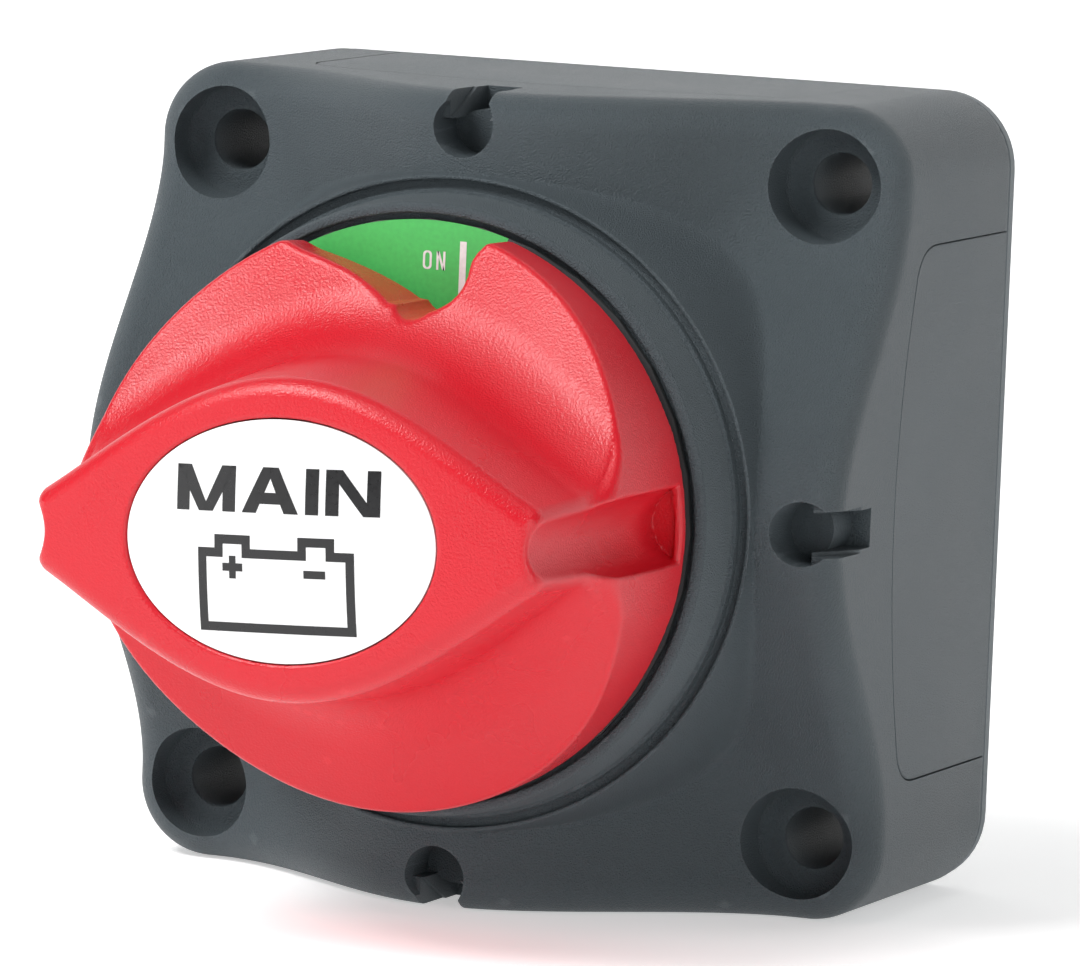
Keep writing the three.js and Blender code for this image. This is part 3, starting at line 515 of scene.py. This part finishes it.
def cut_screw_holes(housing):
    """Through holes with a broken edge, in counterbores whose floors meet the wall in a fillet."""
    floor = COUNTERBORE_H
    wall = COUNTERBORE_R
    below = -5
    profile = [(SCREW_HOLE_R, below), (SCREW_HOLE_R, floor - HOLE_CHAMFER),
               (SCREW_HOLE_R + 0.09, floor - 0.09), (SCREW_HOLE_R + HOLE_CHAMFER, floor),
               (wall - COUNTERBORE_FILLET, floor), (wall - 0.62, floor + 0.08),
               (wall - 0.29, floor + 0.29), (wall - 0.08, floor + 0.62),
               (wall, floor + COUNTERBORE_FILLET), (wall, COLLAR_H)]
    for sx in (-1, 1):
        for sy in (-1, 1):
            cutter = spun(profile, sx * SCREW_AT, sy * SCREW_AT)
            cut(housing, mesh_object("screw_hole", *cutter))


def slot_cutters():
    """The solids that leave one slot, on the right-hand side of the housing.

    A round hole and a channel form the mouth. Ledges that slope away outwards narrow it,
    and below them the hole's flat floor ends in an arc where the channel goes deeper.
    """
    reach = HALF + 3
    above = COLLAR_H + 3
    across = (-SLOT_HALF, SLOT_HALF)
    mouth = arc_points((SLOT_X, 0), SLOT_R, 0, 354, 59)
    slope = [(SLOT_X, LEDGE_H), (LEDGE_X, LEDGE_H), (reach, LEDGE_H - LEDGE_SLOPE * (reach - LEDGE_X)),
             (reach, above), (SLOT_X, above)]
    side = math.degrees(math.acos((LEDGE_X - SLOT_X) / SLOT_R))
    hole = arc_points((SLOT_X, 0), SLOT_R, side, 360 - side, 48)
    floor_end = bar(LEDGE_X - 0.1, -LEDGE_HALF, LEDGE_X + 0.75, LEDGE_HALF)
    step = curve_points((STEP_X, LEDGE_HALF), (LEDGE_X + 1.2, 0), (STEP_X, -LEDGE_HALF), 10)
    deep = [(reach, -LEDGE_HALF), (reach, LEDGE_HALF), (STEP_X, LEDGE_HALF)] + step
    return [extrude(mouth, LEDGE_H, above),
            loft([[(u, v, h) for u, h in slope] for v in across][::-1]),
            extrude(hole, SLOT_HOLE_FLOOR_H, LEDGE_H + OVERLAP),
            extrude(floor_end, SLOT_HOLE_FLOOR_H, LEDGE_H + OVERLAP),
            extrude(deep, SLOT_FLOOR_H, LEDGE_H + OVERLAP)]


def cut_slots(housing):
    for quarter in QUARTERS:
        for points, faces in slot_cutters():
            cut(housing, mesh_object("slot", turned(points, quarter * math.pi / 2), faces))


def build_housing():
    """The housing's skin as a mesh of its field, with the crisp cuts made afterwards."""
    margin = 1.2
    step = 0.4
    low = (-HALF - margin, -HALF - margin, BACK_H - margin)
    high = (HALF + margin, HALF + margin, COLLAR_H + margin)
    points, faces = surface_net(housing_field, low, high, step)
    housing = mesh_object("housing_shell", points, faces)
    for quarter in QUARTERS:
        outline = plate_outline(HAIRLINE)
        pocket = against_side(outline, (HALF - PLATE_T - PLATE_FIT, HALF + 1), (0, 0), quarter)
        cut(housing, mesh_object("pocket", *pocket))
    hollow_outline = rounded_square_outline(HALF - HOLLOW_INSET, HOLLOW_CORNER_R, 8)
    hollow = extrude(hollow_outline, -5, HOLLOW_TOP_H)
    cut(housing, mesh_object("hollow", *hollow))
    cut_collar(housing)
    cut_screw_holes(housing)
    cut_slots(housing)
    housing.data.set_sharp_from_angle(angle=math.radians(SHARP_ANGLE))
    return smooth_from_field(housing, housing_field)


def build_collar_tube():
    """The ring the knob turns in, from the groove up to its top, and the dial's floor."""
    flank = TUBE_H - 0.75
    foot = GROOVE_H - 0.6
    lip = GROOVE_LIP_H
    profile = [(GROOVE_OUTER_R + 0.2, foot), (GROOVE_OUTER_R + 0.2, GROOVE_H - 0.2),
               (GROOVE_INNER_R + 0.12, GROOVE_H + 0.02), (GROOVE_INNER_R, GROOVE_H + 0.14),
               (GROOVE_INNER_R, lip - 0.2), (GROOVE_INNER_R - 0.06, lip - 0.05),
               (GROOVE_INNER_R - 0.2, lip), (TUBE_LIP_R, lip + 0.04), (TUBE_LIP_R - 0.07, lip + 0.2),
               (TUBE_R, flank)]
    profile += arc_points((TUBE_R - TUBE_ROUNDING, flank), TUBE_ROUNDING, 0, 90, 10)
    profile += arc_points((DIAL_RECESS_R + TUBE_INNER_ROUNDING, TUBE_H - 0.25), TUBE_INNER_ROUNDING,
                          90, 180, 6)
    profile += [(DIAL_RECESS_R, DIAL_FLOOR_H), (NECK_BORE_R, DIAL_FLOOR_H),
                (NECK_BORE_R, TUBE_BOTTOM_H), (25.0, TUBE_BOTTOM_H), (25.0, foot)]
    return mesh_object("collar_tube", *lathe(profile[::-1], 320))


def build_side_plates():
    """Four plates with eased outer edges, each in its own pocket."""
    plates = []
    for quarter, side in enumerate(("right", "top", "left", "bottom")):
        depths = (HALF - PLATE_T, HALF - 0.12, HALF - 0.03, HALF)
        points, faces = against_side(plate_outline(0), depths, (0, 0, 0.04, 0.14), quarter)
        plates.append(mesh_object(f"side_panel_{side}", points, faces, smooth_angle=10))
    return plates


def build_rear_cover():
    """The back plate: a chamfered edge and four screw holes."""
    half = HALF - 0.1
    top = COVER_H - 0.3
    edge = [(half - 0.7, 0.0), (half - 0.35, 0.12), (half - 0.12, 0.35), (half, 0.7), (half, top - 0.15),
            (half - 0.15, top)]
    rings = [[(x, y, h) for x, y in rounded_square_outline(size, CORNER_R)] for size, h in edge]
    cover = mesh_object("rear_panel", *loft(rings))
    for sx in (-1, 1):
        for sy in (-1, 1):
            hole = spun([(COVER_HOLE_R, -1), (COVER_HOLE_R, 3)], sx * SCREW_AT, sy * SCREW_AT)
            cut(cover, mesh_object("hole", *hole))
    cover.data.set_sharp_from_angle(angle=math.radians(12))
    return cover


# ------------------------------------------------------------------ knob

def handle_half_width(x):
    along = np.minimum(np.abs(x), HANDLE_SWELL_REACH - 0.1)
    wave = 0.5 * (1 + np.cos(np.pi * along / HANDLE_SWELL_REACH))
    return HANDLE_TIP_HALF + HANDLE_SWELL * wave**HANDLE_SWELL_POWER


def window_outline():
    """The cut in the skirt that shows the dial, in the knob's own axes."""
    points = [(-11.5, 23.2), (-8.0, 21.6)]
    points += curve_points((-8.0, 21.6), (-2.2, 19.9), (1.0, 17.8), 8)
    points += arc_points((3.4, 18.6), 1.9, 207, 315, 8)
    points += curve_points(points[-1], (7.6, 18.2), (7.6, 21.0), 6)
    points += curve_points((7.6, 21.0), (7.7, 22.6), (11.5, 24.6), 6)
    return points + [(6, 29), (-8, 29)]


def rim_height(x, y):
    turn = np.abs(x) / np.maximum(np.hypot(x, y), 1e-3)
    return KNOB_RIM_H + KNOB_RIM_RISE * turn**RIM_RISE_POWER


def rim_radius(h):
    """The knob's slightly barrelled wall."""
    return KNOB_RIM_R - KNOB_BARREL * (h - KNOB_WIDEST_H) ** 2


def skirt_field(x, y, h):
    radius = np.hypot(x, y)
    turn = np.abs(x) / np.maximum(radius, 1e-3)
    rise = SKIRT_RISE * np.clip((KNOB_RIM_R - radius) / SKIRT_REACH, 0, 2) * (1 - turn**4)
    top = (h - rim_height(x, y) - rise) * SKIRT_STEEPNESS
    return round_intersect(radius - rim_radius(h), top, KNOB_EDGE_R)


def handle_field(x, y, h):
    """The lens-shaped handle: drafted sides and ends under a domed crown."""
    reach = 0.1
    slope = (handle_half_width(x + reach) - handle_half_width(x - reach)) / (2 * reach)
    drop = HANDLE_TOP_H - h
    side = (np.abs(y) - handle_half_width(x) - HANDLE_SIDE_DRAFT * drop) / np.sqrt(1 + slope**2)
    end = np.abs(x) - HANDLE_END - HANDLE_END_DRAFT * drop
    lens = round_intersect(side, end, HANDLE_EDGE_R)
    crown = HANDLE_TOP_H - CROWN_BOW_X * x**2 - CROWN_BOW_Y * y**2
    return round_intersect(lens, h - crown, CROWN_EDGE_R)


def scallop_field(x, y, h):
    """The groove down each blunt end of the handle, with the pocket at its foot."""
    centre = SCALLOP_X + (SCALLOP_H - h) * SCALLOP_LEAN
    groove = np.hypot(np.abs(x) - centre, y) - SCALLOP_R
    pocket = np.maximum(np.hypot(x, y) - POCKET_WALL_R, POCKET_FLOOR_H - h)
    return np.maximum(groove, np.minimum(SCALLOP_FLOOR_H - h, pocket))


WINDOW = window_outline()


def knob_field(x, y, h):
    c, s = math.cos(KNOB_TURN), math.sin(KNOB_TURN)
    x, y = c * x + s * y, c * y - s * x
    body = round_union(skirt_field(x, y, h), handle_field(x, y, h), HANDLE_FILLET)
    body = round_intersect(body, np.hypot(x, y) - rim_radius(h), KNOB_EDGE_R)
    body = round_intersect(body, KNOB_LOW_H - h, KNOB_FINE_EDGE_R)
    body = round_cut(body, scallop_field(x, y, h), KNOB_FINE_EDGE_R)
    lean = WINDOW_LEAN * np.clip((3 - x) / 6, 0, 1) * (h - KNOB_LOW_H)
    body = round_cut(body, polygon_field(x, y, WINDOW) + lean, KNOB_EDGE_R)
    oval = ellipse_field(x, y, LABEL_A + LABEL_GAP, LABEL_B + LABEL_GAP)
    return round_cut(body, np.maximum(oval, LABEL_FLOOR_H - h), KNOB_FINE_EDGE_R)


def build_knob():
    size = KNOB_RIM_R + 1
    low = (-size, -size, KNOB_LOW_H - 1)
    high = (size, size, HANDLE_TOP_H + 1)
    step = 0.3
    points, faces = surface_net(knob_field, low, high, step)
    return smooth_from_field(mesh_object("knob_grip", points, faces, smooth_angle=60), knob_field)


def label_height(x, y):
    """Height of the label's domed face, in the knob's own axes."""
    share = np.clip(np.hypot(x / LABEL_A, y / LABEL_B), 0, 1)
    return LABEL_EDGE_H + (LABEL_CREST_H - LABEL_EDGE_H) * (1 - share**2)


def build_label():
    """An oval plate whose rings climb its edge and then close in over its dome."""
    angles = np.linspace(0, 2 * math.pi, 160, endpoint=False)
    rings = []
    for share, low in [(0.985, LABEL_FLOOR_H + 0.3), (1.0, LABEL_EDGE_H - 0.2)]:
        rings.append([(LABEL_A * share * math.cos(t), LABEL_B * share * math.sin(t), low) for t in angles])
    for share in [0.998, 0.99, 0.97, 0.94, 0.88, 0.8, 0.7, 0.6, 0.5, 0.4, 0.3, 0.2, 0.1, 0.02]:
        x, y = LABEL_A * share * np.cos(angles), LABEL_B * share * np.sin(angles)
        rings.append(np.stack([x, y, label_height(x, y)], 1))
    points, faces = loft(rings)
    return mesh_object("label_dome", turned(points, KNOB_TURN), faces, smooth_angle=50)


# ------------------------------------------------------------------ printing

def bar(x0, y0, x1, y1):
    """A rectangle as four corners, anticlockwise."""
    return [(x0, y0), (x1, y0), (x1, y1), (x0, y1)]


def letter_strokes(letter, width, height, weight):
    """Convex pieces of a bold upright letter standing on (0, 0)."""
    w, t, s = width, height, weight
    thin = 0.8 * s
    if letter == "I":
        return [bar(0, 0, s, t)]
    if letter == "N":
        diagonal = [(s * 0.2, t), (w - s * 1.25, 0), (w - s * 0.2, 0), (s * 1.25, t)]
        return [bar(0, 0, s, t), bar(w - s, 0, w, t), diagonal]
    if letter == "M":
        return [bar(0, 0, s, t), bar(w - s, 0, w, t),
                [(0, t), (w / 2 - s * 0.55, 0), (w / 2 + s * 0.3, 0), (s * 1.1, t)],
                [(w - s * 1.1, t), (w / 2 - s * 0.3, 0), (w / 2 + s * 0.55, 0), (w, t)]]
    if letter == "A":
        return [[(0, 0), (s * 1.1, 0), (w / 2 + s * 0.35, t), (w / 2 - s * 0.6, t)],
                [(w - s * 1.1, 0), (w, 0), (w / 2 + s * 0.6, t), (w / 2 - s * 0.35, t)],
                bar(w * 0.24, t * 0.2, w * 0.76, t * 0.2 + thin)]
    if letter == "F":
        return [bar(0, 0, s, t), bar(s, t - thin, w, t), bar(s, t * 0.42, w * 0.88, t * 0.42 + thin)]
    outer = rounded_box_outline(w, t, 0.42 * min(w, t))
    inner = rounded_box_outline(w - 2 * s, t - 2 * thin, 0.28 * min(w, t))
    inner = [(x + s, y + thin) for x, y in inner]
    count = len(outer)
    return [[outer[i], outer[(i + 1) % count], inner[(i + 1) % count], inner[i]] for i in range(count)]


def rounded_box_outline(width, height, radius, steps=5):
    points = []
    centres = [(width - radius, height - radius), (radius, height - radius), (radius, radius),
               (width - radius, radius)]
    for k, centre in enumerate(centres):
        points += arc_points(centre, radius, 90 * k, 90 * k + 90, steps)
    return points


def word_pieces(letters, left, base, height, weight, gap):
    """Convex pieces of a word; letters are (letter, width) pairs."""
    pieces = []
    for letter, width in letters:
        for piece in letter_strokes(letter, width, height, weight):
            pieces.append([(x + left, y + base) for x, y in piece])
        left += width + gap
    return pieces


def battery_pieces():
    """A battery outline with two terminals, a plus sign and a minus sign."""
    left, right, low, high, line = -7.0, 6.8, -7.4, -0.6, 0.75
    tab = 1.1
    posts = [(-5.5, -2.3), (1.9, 5.1)]
    pieces = [bar(left, low, left + line, high), bar(right - line, low, right, high),
              bar(left + line, low, right - line, low + line)]
    edges = [left + line, posts[0][0], posts[0][1], posts[1][0], posts[1][1], right - line]
    for start, end in zip(edges[::2], edges[1::2]):
        pieces.append(bar(start, high - line, end, high))
    for start, end in posts:
        top = high + tab
        pieces += [bar(start, top - line, end, top), bar(start, high - line, start + line, top - line),
                   bar(end - line, high - line, end, top - line)]
    pieces += [bar(-4.8, -2.45, -3.0, -1.8), bar(-4.2, -3.05, -3.6, -2.45), bar(-4.2, -1.8, -3.6, -1.2)]
    pieces.append(bar(2.4, -2.8, 4.3, -2.15))
    return pieces


def print_on(name, pieces, height_at, lift, turn=0.0):
    """Lays flat convex pieces on a surface as a thin film of ink, subdivided to follow it."""
    build = bmesh.new()
    for piece in pieces:
        build.faces.new([build.verts.new((x, y, 0)) for x, y in piece])
    bmesh.ops.triangulate(build, faces=build.faces[:])
    for _ in range(4):
        long_edges = [e for e in build.edges if e.calc_length() > 0.8]
        bmesh.ops.subdivide_edges(build, edges=long_edges, cuts=1)
    bmesh.ops.triangulate(build, faces=build.faces[:])
    build.verts.index_update()
    flat = np.array([v.co[:] for v in build.verts])
    faces = [[v.index for v in f.verts] for f in build.faces]
    build.free()
    x, y = flat[:, 0], flat[:, 1]
    points = np.stack([x, y, height_at(x, y) + lift], 1)
    return mesh_object(name, turned(points, turn), faces)


def build_label_print():
    word = word_pieces([("M", 5.3), ("A", 5.0), ("I", 1.15), ("N", 4.7)], -8.95, 2.35, 3.7, 1.15, 0.6)
    return print_on("label_print", word + battery_pieces(), label_height, LABEL_INK_LIFT, KNOB_TURN)


def dial_height(x, y):
    return np.full_like(x, DIAL_H)


def sector_pieces(start, end):
    angles = np.radians(np.linspace(start, end, 46))
    pieces = []
    for a, b in zip(angles, angles[1:]):
        corners = [(SECTOR_INNER_R, a), (SECTOR_OUTER_R, a), (SECTOR_OUTER_R, b), (SECTOR_INNER_R, b)]
        pieces.append([(r * math.cos(t), r * math.sin(t)) for r, t in corners])
    return pieces


def dial_word(letters, left):
    """A word at the top of the dial, with the bar beside it."""
    word = word_pieces(letters, left, MARK_BASE, MARK_HEIGHT, MARK_WEIGHT, MARK_GAP)
    return word + [bar(*POINTER_BAR)]


def build_dial_print():
    """The printed faces of the dial: green at the top for ON, red at the left for OFF."""
    green = print_on("dial_on_sector", sector_pieces(*ON_SECTOR), dial_height, INK_LIFT)
    red = print_on("dial_off_sector", sector_pieces(*OFF_SECTOR), dial_height, INK_LIFT)
    on_marks = dial_word([("O", 0.8), ("N", 0.8)], -0.55)
    off_marks = dial_word([("O", 0.8), ("F", 0.7), ("F", 0.7)], -1.65)
    turned_off = [[(-y, x) for x, y in piece] for piece in off_marks]
    marks = print_on("dial_marks", on_marks + turned_off, dial_height, MARK_LIFT)
    return green, red, marks


# ------------------------------------------------------------------ materials

def new_material(name):
    material = bpy.data.materials.new(name)
    material.use_nodes = True
    nodes = material.node_tree.nodes
    return material, nodes, material.node_tree.links, nodes["Principled BSDF"]


def noise(nodes, links, coords, scale, detail=3.0, roughness=0.55):
    """A noise texture with its scale in repeats per millimetre."""
    node = nodes.new("ShaderNodeTexNoise")
    node.inputs["Scale"].default_value = scale / MM
    node.inputs["Detail"].default_value = detail
    node.inputs["Roughness"].default_value = roughness
    links.new(coords, node.inputs["Vector"])
    return node.outputs["Fac"]


def ramp(nodes, links, source, stops):
    """Maps a 0 to 1 value through colour stops, each (position, colour)."""
    node = nodes.new("ShaderNodeValToRGB")
    elements = node.color_ramp.elements
    while len(elements) < len(stops):
        elements.new(0.5)
    for element, (position, colour) in zip(elements, stops):
        element.position = position
        element.color = (*colour, 1)
    links.new(source, node.inputs["Fac"])
    return node.outputs["Color"]


def math_node(nodes, links, operation, a, b):
    node = nodes.new("ShaderNodeMath")
    node.operation = operation
    for socket, value in zip(node.inputs, (a, b)):
        if isinstance(value, (int, float)):
            socket.default_value = value
        else:
            links.new(value, socket)
    return node.outputs["Value"]


def map_range(nodes, links, source, low, high, to_low, to_high):
    node = nodes.new("ShaderNodeMapRange")
    links.new(source, node.inputs["Value"])
    for name, value in zip(("From Min", "From Max", "To Min", "To Max"), (low, high, to_low, to_high)):
        node.inputs[name].default_value = value
    return node.outputs["Result"]


def bump(nodes, links, height, distance_mm, strength, normal=None):
    node = nodes.new("ShaderNodeBump")
    node.inputs["Strength"].default_value = strength
    node.inputs["Distance"].default_value = distance_mm * MM
    links.new(height, node.inputs["Height"])
    if normal is not None:
        links.new(normal, node.inputs["Normal"])
    return node.outputs["Normal"]


def scaled(colour, factor):
    """A colour made lighter or darker."""
    return tuple(min(1.0, c * factor) for c in colour)


def moulded_plastic(name, colour, roughness, grain_mm, grain_depth, wear=0.25, variation=0.06, specular=0.5):
    """Injection-moulded plastic: spark-eroded grain, patchy gloss and rubbed edges."""
    material, nodes, links, shader = new_material(name)
    coords = nodes.new("ShaderNodeTexCoord").outputs["Object"]
    patches = noise(nodes, links, coords, 0.05, 4)
    speckle = noise(nodes, links, coords, 1.4 / grain_mm, 2)
    tint = math_node(nodes, links, "MULTIPLY", speckle, 0.45)
    tint = math_node(nodes, links, "ADD", tint, math_node(nodes, links, "MULTIPLY", patches, 0.55))
    stops = [(0.3, scaled(colour, 1 - variation)), (0.7, scaled(colour, 1 + variation))]
    base = ramp(nodes, links, tint, stops)
    pointiness = nodes.new("ShaderNodeNewGeometry").outputs["Pointiness"]
    edges = map_range(nodes, links, pointiness, 0.52, 0.6, 0, wear)
    mix = nodes.new("ShaderNodeMix")
    mix.data_type = "RGBA"
    links.new(edges, mix.inputs["Factor"])
    links.new(base, mix.inputs["A"])
    mix.inputs["B"].default_value = (*scaled(tuple(c + 0.05 for c in colour), 1.5), 1)
    links.new(mix.outputs["Result"], shader.inputs["Base Color"])
    gloss = map_range(nodes, links, patches, 0.3, 0.7, roughness - 0.04, roughness + 0.05)
    links.new(gloss, shader.inputs["Roughness"])
    shader.inputs["Specular IOR Level"].default_value = specular
    grain = noise(nodes, links, coords, 1 / grain_mm, 2.5, 0.6)
    normal = bump(nodes, links, grain, grain_depth, 1.0)
    waves = noise(nodes, links, coords, 0.12, 2)
    links.new(bump(nodes, links, waves, 0.05, 0.12, normal), shader.inputs["Normal"])
    return material


def glossy_label(name):
    """White print under a clear domed resin face."""
    material, nodes, links, shader = new_material(name)
    coords = nodes.new("ShaderNodeTexCoord").outputs["Object"]
    patches = noise(nodes, links, coords, 0.08, 3)
    base = ramp(nodes, links, patches, [(0.3, (0.86, 0.87, 0.88)), (0.7, (0.9, 0.9, 0.905))])
    links.new(base, shader.inputs["Base Color"])
    links.new(map_range(nodes, links, patches, 0.3, 0.7, 0.2, 0.28), shader.inputs["Roughness"])
    shader.inputs["Coat Weight"].default_value = 1.0
    shader.inputs["Coat Roughness"].default_value = 0.04
    links.new(bump(nodes, links, noise(nodes, links, coords, 0.25, 2), 0.01, 0.3), shader.inputs["Normal"])
    return material


def ink(name, colour, roughness):
    """Screen-printed ink with slightly uneven density."""
    material, nodes, links, shader = new_material(name)
    coords = nodes.new("ShaderNodeTexCoord").outputs["Object"]
    density = noise(nodes, links, coords, 2.2, 3)
    links.new(ramp(nodes, links, density, [(0.3, scaled(colour, 0.93)), (0.7, scaled(colour, 1.06))]),
              shader.inputs["Base Color"])
    links.new(map_range(nodes, links, density, 0.3, 0.7, roughness - 0.05, roughness + 0.07),
              shader.inputs["Roughness"])
    links.new(bump(nodes, links, density, 0.01, 0.3), shader.inputs["Normal"])
    return material


def worked_metal(name, colour, roughness, stretch=(1, 1, 12)):
    """Machined or drawn metal with fine lines and faint tarnish."""
    material, nodes, links, shader = new_material(name)
    coords = nodes.new("ShaderNodeTexCoord").outputs["Object"]
    mapping = nodes.new("ShaderNodeMapping")
    mapping.inputs["Scale"].default_value = stretch
    links.new(coords, mapping.inputs["Vector"])
    lines = noise(nodes, links, mapping.outputs["Vector"], 1.5, 4)
    tarnish = noise(nodes, links, coords, 0.2, 4)
    base = ramp(nodes, links, tarnish, [(0.3, scaled(colour, 0.85)), (0.7, colour)])
    gloss = map_range(nodes, links, lines, 0.3, 0.7, roughness - 0.07, roughness + 0.1)
    links.new(base, shader.inputs["Base Color"])
    links.new(gloss, shader.inputs["Roughness"])
    shader.inputs["Metallic"].default_value = 1.0
    links.new(bump(nodes, links, lines, 0.02, 0.4), shader.inputs["Normal"])
    return material


MATERIALS = {
    "housing_plastic": moulded_plastic("housing_plastic", (0.072, 0.09, 0.1), 0.4, 0.15, 0.3,
                                        variation=0.15, specular=0.3),
    "cover_plastic": moulded_plastic("cover_plastic", (0.085, 0.104, 0.114), 0.5, 0.3, 0.08),
    "knob_plastic": moulded_plastic("knob_plastic", (0.6, 0.007, 0.018), 0.27, 0.2, 0.06,
                                     wear=0.1, variation=0.05),
    "label_plastic": glossy_label("label_plastic"),
    "dial_plastic": moulded_plastic("dial_plastic", (0.03, 0.033, 0.035), 0.5, 0.3, 0.02),
    "black_moulding": moulded_plastic("black_moulding", (0.018, 0.018, 0.02), 0.55, 0.3, 0.05),
    "acetal": moulded_plastic("acetal", (0.75, 0.73, 0.66), 0.45, 0.5, 0.02, wear=0.1, variation=0.03),
    "seal_rubber": moulded_plastic("seal_rubber", (0.012, 0.012, 0.012), 0.8, 0.3, 0.04, wear=0.1),
    "copper": worked_metal("copper", (0.72, 0.34, 0.19), 0.3),
    "tinned_copper": worked_metal("tinned_copper", (0.62, 0.62, 0.6), 0.32),
    "stainless_steel": worked_metal("stainless_steel", (0.52, 0.53, 0.54), 0.28),
    "spring_steel": worked_metal("spring_steel", (0.4, 0.4, 0.41), 0.3, (12, 1, 1)),
}
BLACK_INK = ink("black_ink", (0.012, 0.012, 0.013), 0.3)
WHITE_INK = ink("white_ink", (0.82, 0.83, 0.82), 0.45)
GREEN_INK = ink("green_ink", (0.075, 0.55, 0.12), 0.5)
RED_INK = ink("red_ink", (0.6, 0.02, 0.025), 0.5)


def finish_piece(obj, body, material, slot, *nodes):
    """Gives a piece its material and its body, and hides the CAD nodes it stands for."""
    obj.data.materials.clear()
    obj.data.materials.append(material)
    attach(obj, body)
    if nodes:
        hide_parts(*nodes)


def dress_cad_nodes():
    """Every CAD node that stays visible gets its slot's material."""
    for part in frame["record"]["subparts"]:
        node = frame["nodes"][part["node"]]
        node.data.materials.clear()
        node.data.materials.append(MATERIALS[part["material_slot"]])


# ------------------------------------------------------------------ camera and stage

def place_camera():
    """A long lens a little above and to the right of the switch's own axis."""
    azimuth, elevation, roll = math.radians(22.846), math.radians(6.618), math.radians(2.284)
    target = Vector((1.616, -25.0, 0.39)) * MM
    distance = 806.1 * MM
    back = Vector((math.sin(azimuth) * math.cos(elevation), -math.cos(azimuth) * math.cos(elevation),
                   math.sin(elevation)))
    camera = bpy.data.objects.new("camera", bpy.data.cameras.new("camera"))
    bpy.context.scene.collection.objects.link(camera)
    level = back.to_track_quat("Z", "Y").to_matrix().to_4x4()
    place = Matrix.Translation(target + back * distance)
    camera.matrix_world = place @ level @ Matrix.Rotation(roll, 4, "Z")
    camera.data.sensor_width = 36.0
    camera.data.lens = 315.6
    camera.data.clip_start = 0.01
    bpy.context.scene.camera = camera


def area_light(name, azimuth, elevation, distance, size, power):
    """A soft box aimed at the switch; azimuth 0 is in front of it and 90 to its right."""
    a, e = math.radians(azimuth), math.radians(elevation)
    direction = Vector((math.sin(a) * math.cos(e), -math.cos(a) * math.cos(e), math.sin(e)))
    light = bpy.data.lights.new(name, "AREA")
    light.shape = "RECTANGLE"
    light.size, light.size_y = size
    light.energy = power
    obj = bpy.data.objects.new(name, light)
    bpy.context.scene.collection.objects.link(obj)
    rotation = direction.to_track_quat("Z", "Y").to_matrix().to_4x4()
    aim = Vector((0, -0.03, 0))
    obj.matrix_world = Matrix.Translation(direction * distance + aim) @ rotation


def build_stage():
    """A pale floor under the switch that curves up into a backdrop; it glows as painted light, fainter in
    front than at the back.
    """
    floor_z = -HALF - 0.05
    floor_front, floor_back = -1500, 700
    bend = 400
    half_width, height = 8000, 1500
    profile = [(floor_front, floor_z), (floor_back, floor_z)]
    for t in np.radians(range(5, 91, 5)):
        profile.append((floor_back + bend * math.sin(t), floor_z + bend - bend * math.cos(t)))
    profile.append((floor_back + bend, height))
    rows = [[(x, z, -y) for y, z in profile] for x in (-half_width, half_width)]
    count = len(profile)
    faces = [(i, i + 1, count + i + 1, count + i) for i in range(count - 1)]
    stage = mesh_object("stage", np.array(rows[0] + rows[1]), faces, smooth_angle=60)
    material, nodes, links, shader = new_material("glowing_pale_paper")
    coords = nodes.new("ShaderNodeTexCoord").outputs["Object"]
    links.new(ramp(nodes, links, noise(nodes, links, coords, 0.02, 3), [(0, (0.86,) * 3), (1, (0.9,) * 3)]),
              shader.inputs["Base Color"])
    shader.inputs["Roughness"].default_value = 0.9
    # painted light: the paper glows white, its strength rising from 0.45 in front of the switch to 0.68
    # behind it
    shader.inputs["Emission Color"].default_value = (1, 1, 1, 1)
    depth = nodes.new("ShaderNodeSeparateXYZ")
    links.new(coords, depth.inputs["Vector"])
    glow = map_range(nodes, links, depth.outputs["Y"], 0.0, 0.6, 0.45, 0.68)
    links.new(glow, shader.inputs["Emission Strength"])
    stage.data.materials.append(material)


def light_scene():
    """A dim white world and four soft boxes: azimuth, elevation, distance, size and power."""
    world = bpy.data.worlds.new("studio")
    world.use_nodes = True
    world.node_tree.nodes["Background"].inputs["Color"].default_value = (1, 1, 1, 1)
    world.node_tree.nodes["Background"].inputs["Strength"].default_value = 0.14
    bpy.context.scene.world = world
    area_light("key", -36, 50, 0.7, (0.28, 0.24), 4.0)
    area_light("front", -38, 8, 0.8, (0.4, 0.6), 1.2)
    area_light("side", 46, 8, 0.7, (0.3, 0.5), 1.3)
    area_light("top", 15, 78, 0.7, (0.5, 0.25), 0.7)


# ------------------------------------------------------------------ assembly

bpy.context.scene.view_settings.view_transform = "Standard"
place_camera()
light_scene()
build_stage()
dress_cad_nodes()

finish_piece(build_housing(), "housing_body", MATERIALS["housing_plastic"], "housing_plastic", "housing")
finish_piece(build_collar_tube(), "housing_body", MATERIALS["housing_plastic"], "housing_plastic")
for plate in build_side_plates():
    node = plate.name.replace("side_panel", "side_plate")
    finish_piece(plate, "housing_body", MATERIALS["housing_plastic"], "housing_plastic", node)
finish_piece(build_rear_cover(), "housing_body", MATERIALS["cover_plastic"], "cover_plastic", "rear_cover")
finish_piece(build_knob(), "rotor_body", MATERIALS["knob_plastic"], "knob_plastic", "knob")
finish_piece(build_label(), "rotor_body", MATERIALS["label_plastic"], "label_plastic", "label_plate")
finish_piece(build_label_print(), "rotor_body", BLACK_INK, "label_plastic")
green_sector, red_sector, dial_marks = build_dial_print()
finish_piece(green_sector, "housing_body", GREEN_INK, "dial_plastic")
finish_piece(red_sector, "housing_body", RED_INK, "dial_plastic")
finish_piece(dial_marks, "housing_body", WHITE_INK, "dial_plastic")

bpy.context.view_layer.update()
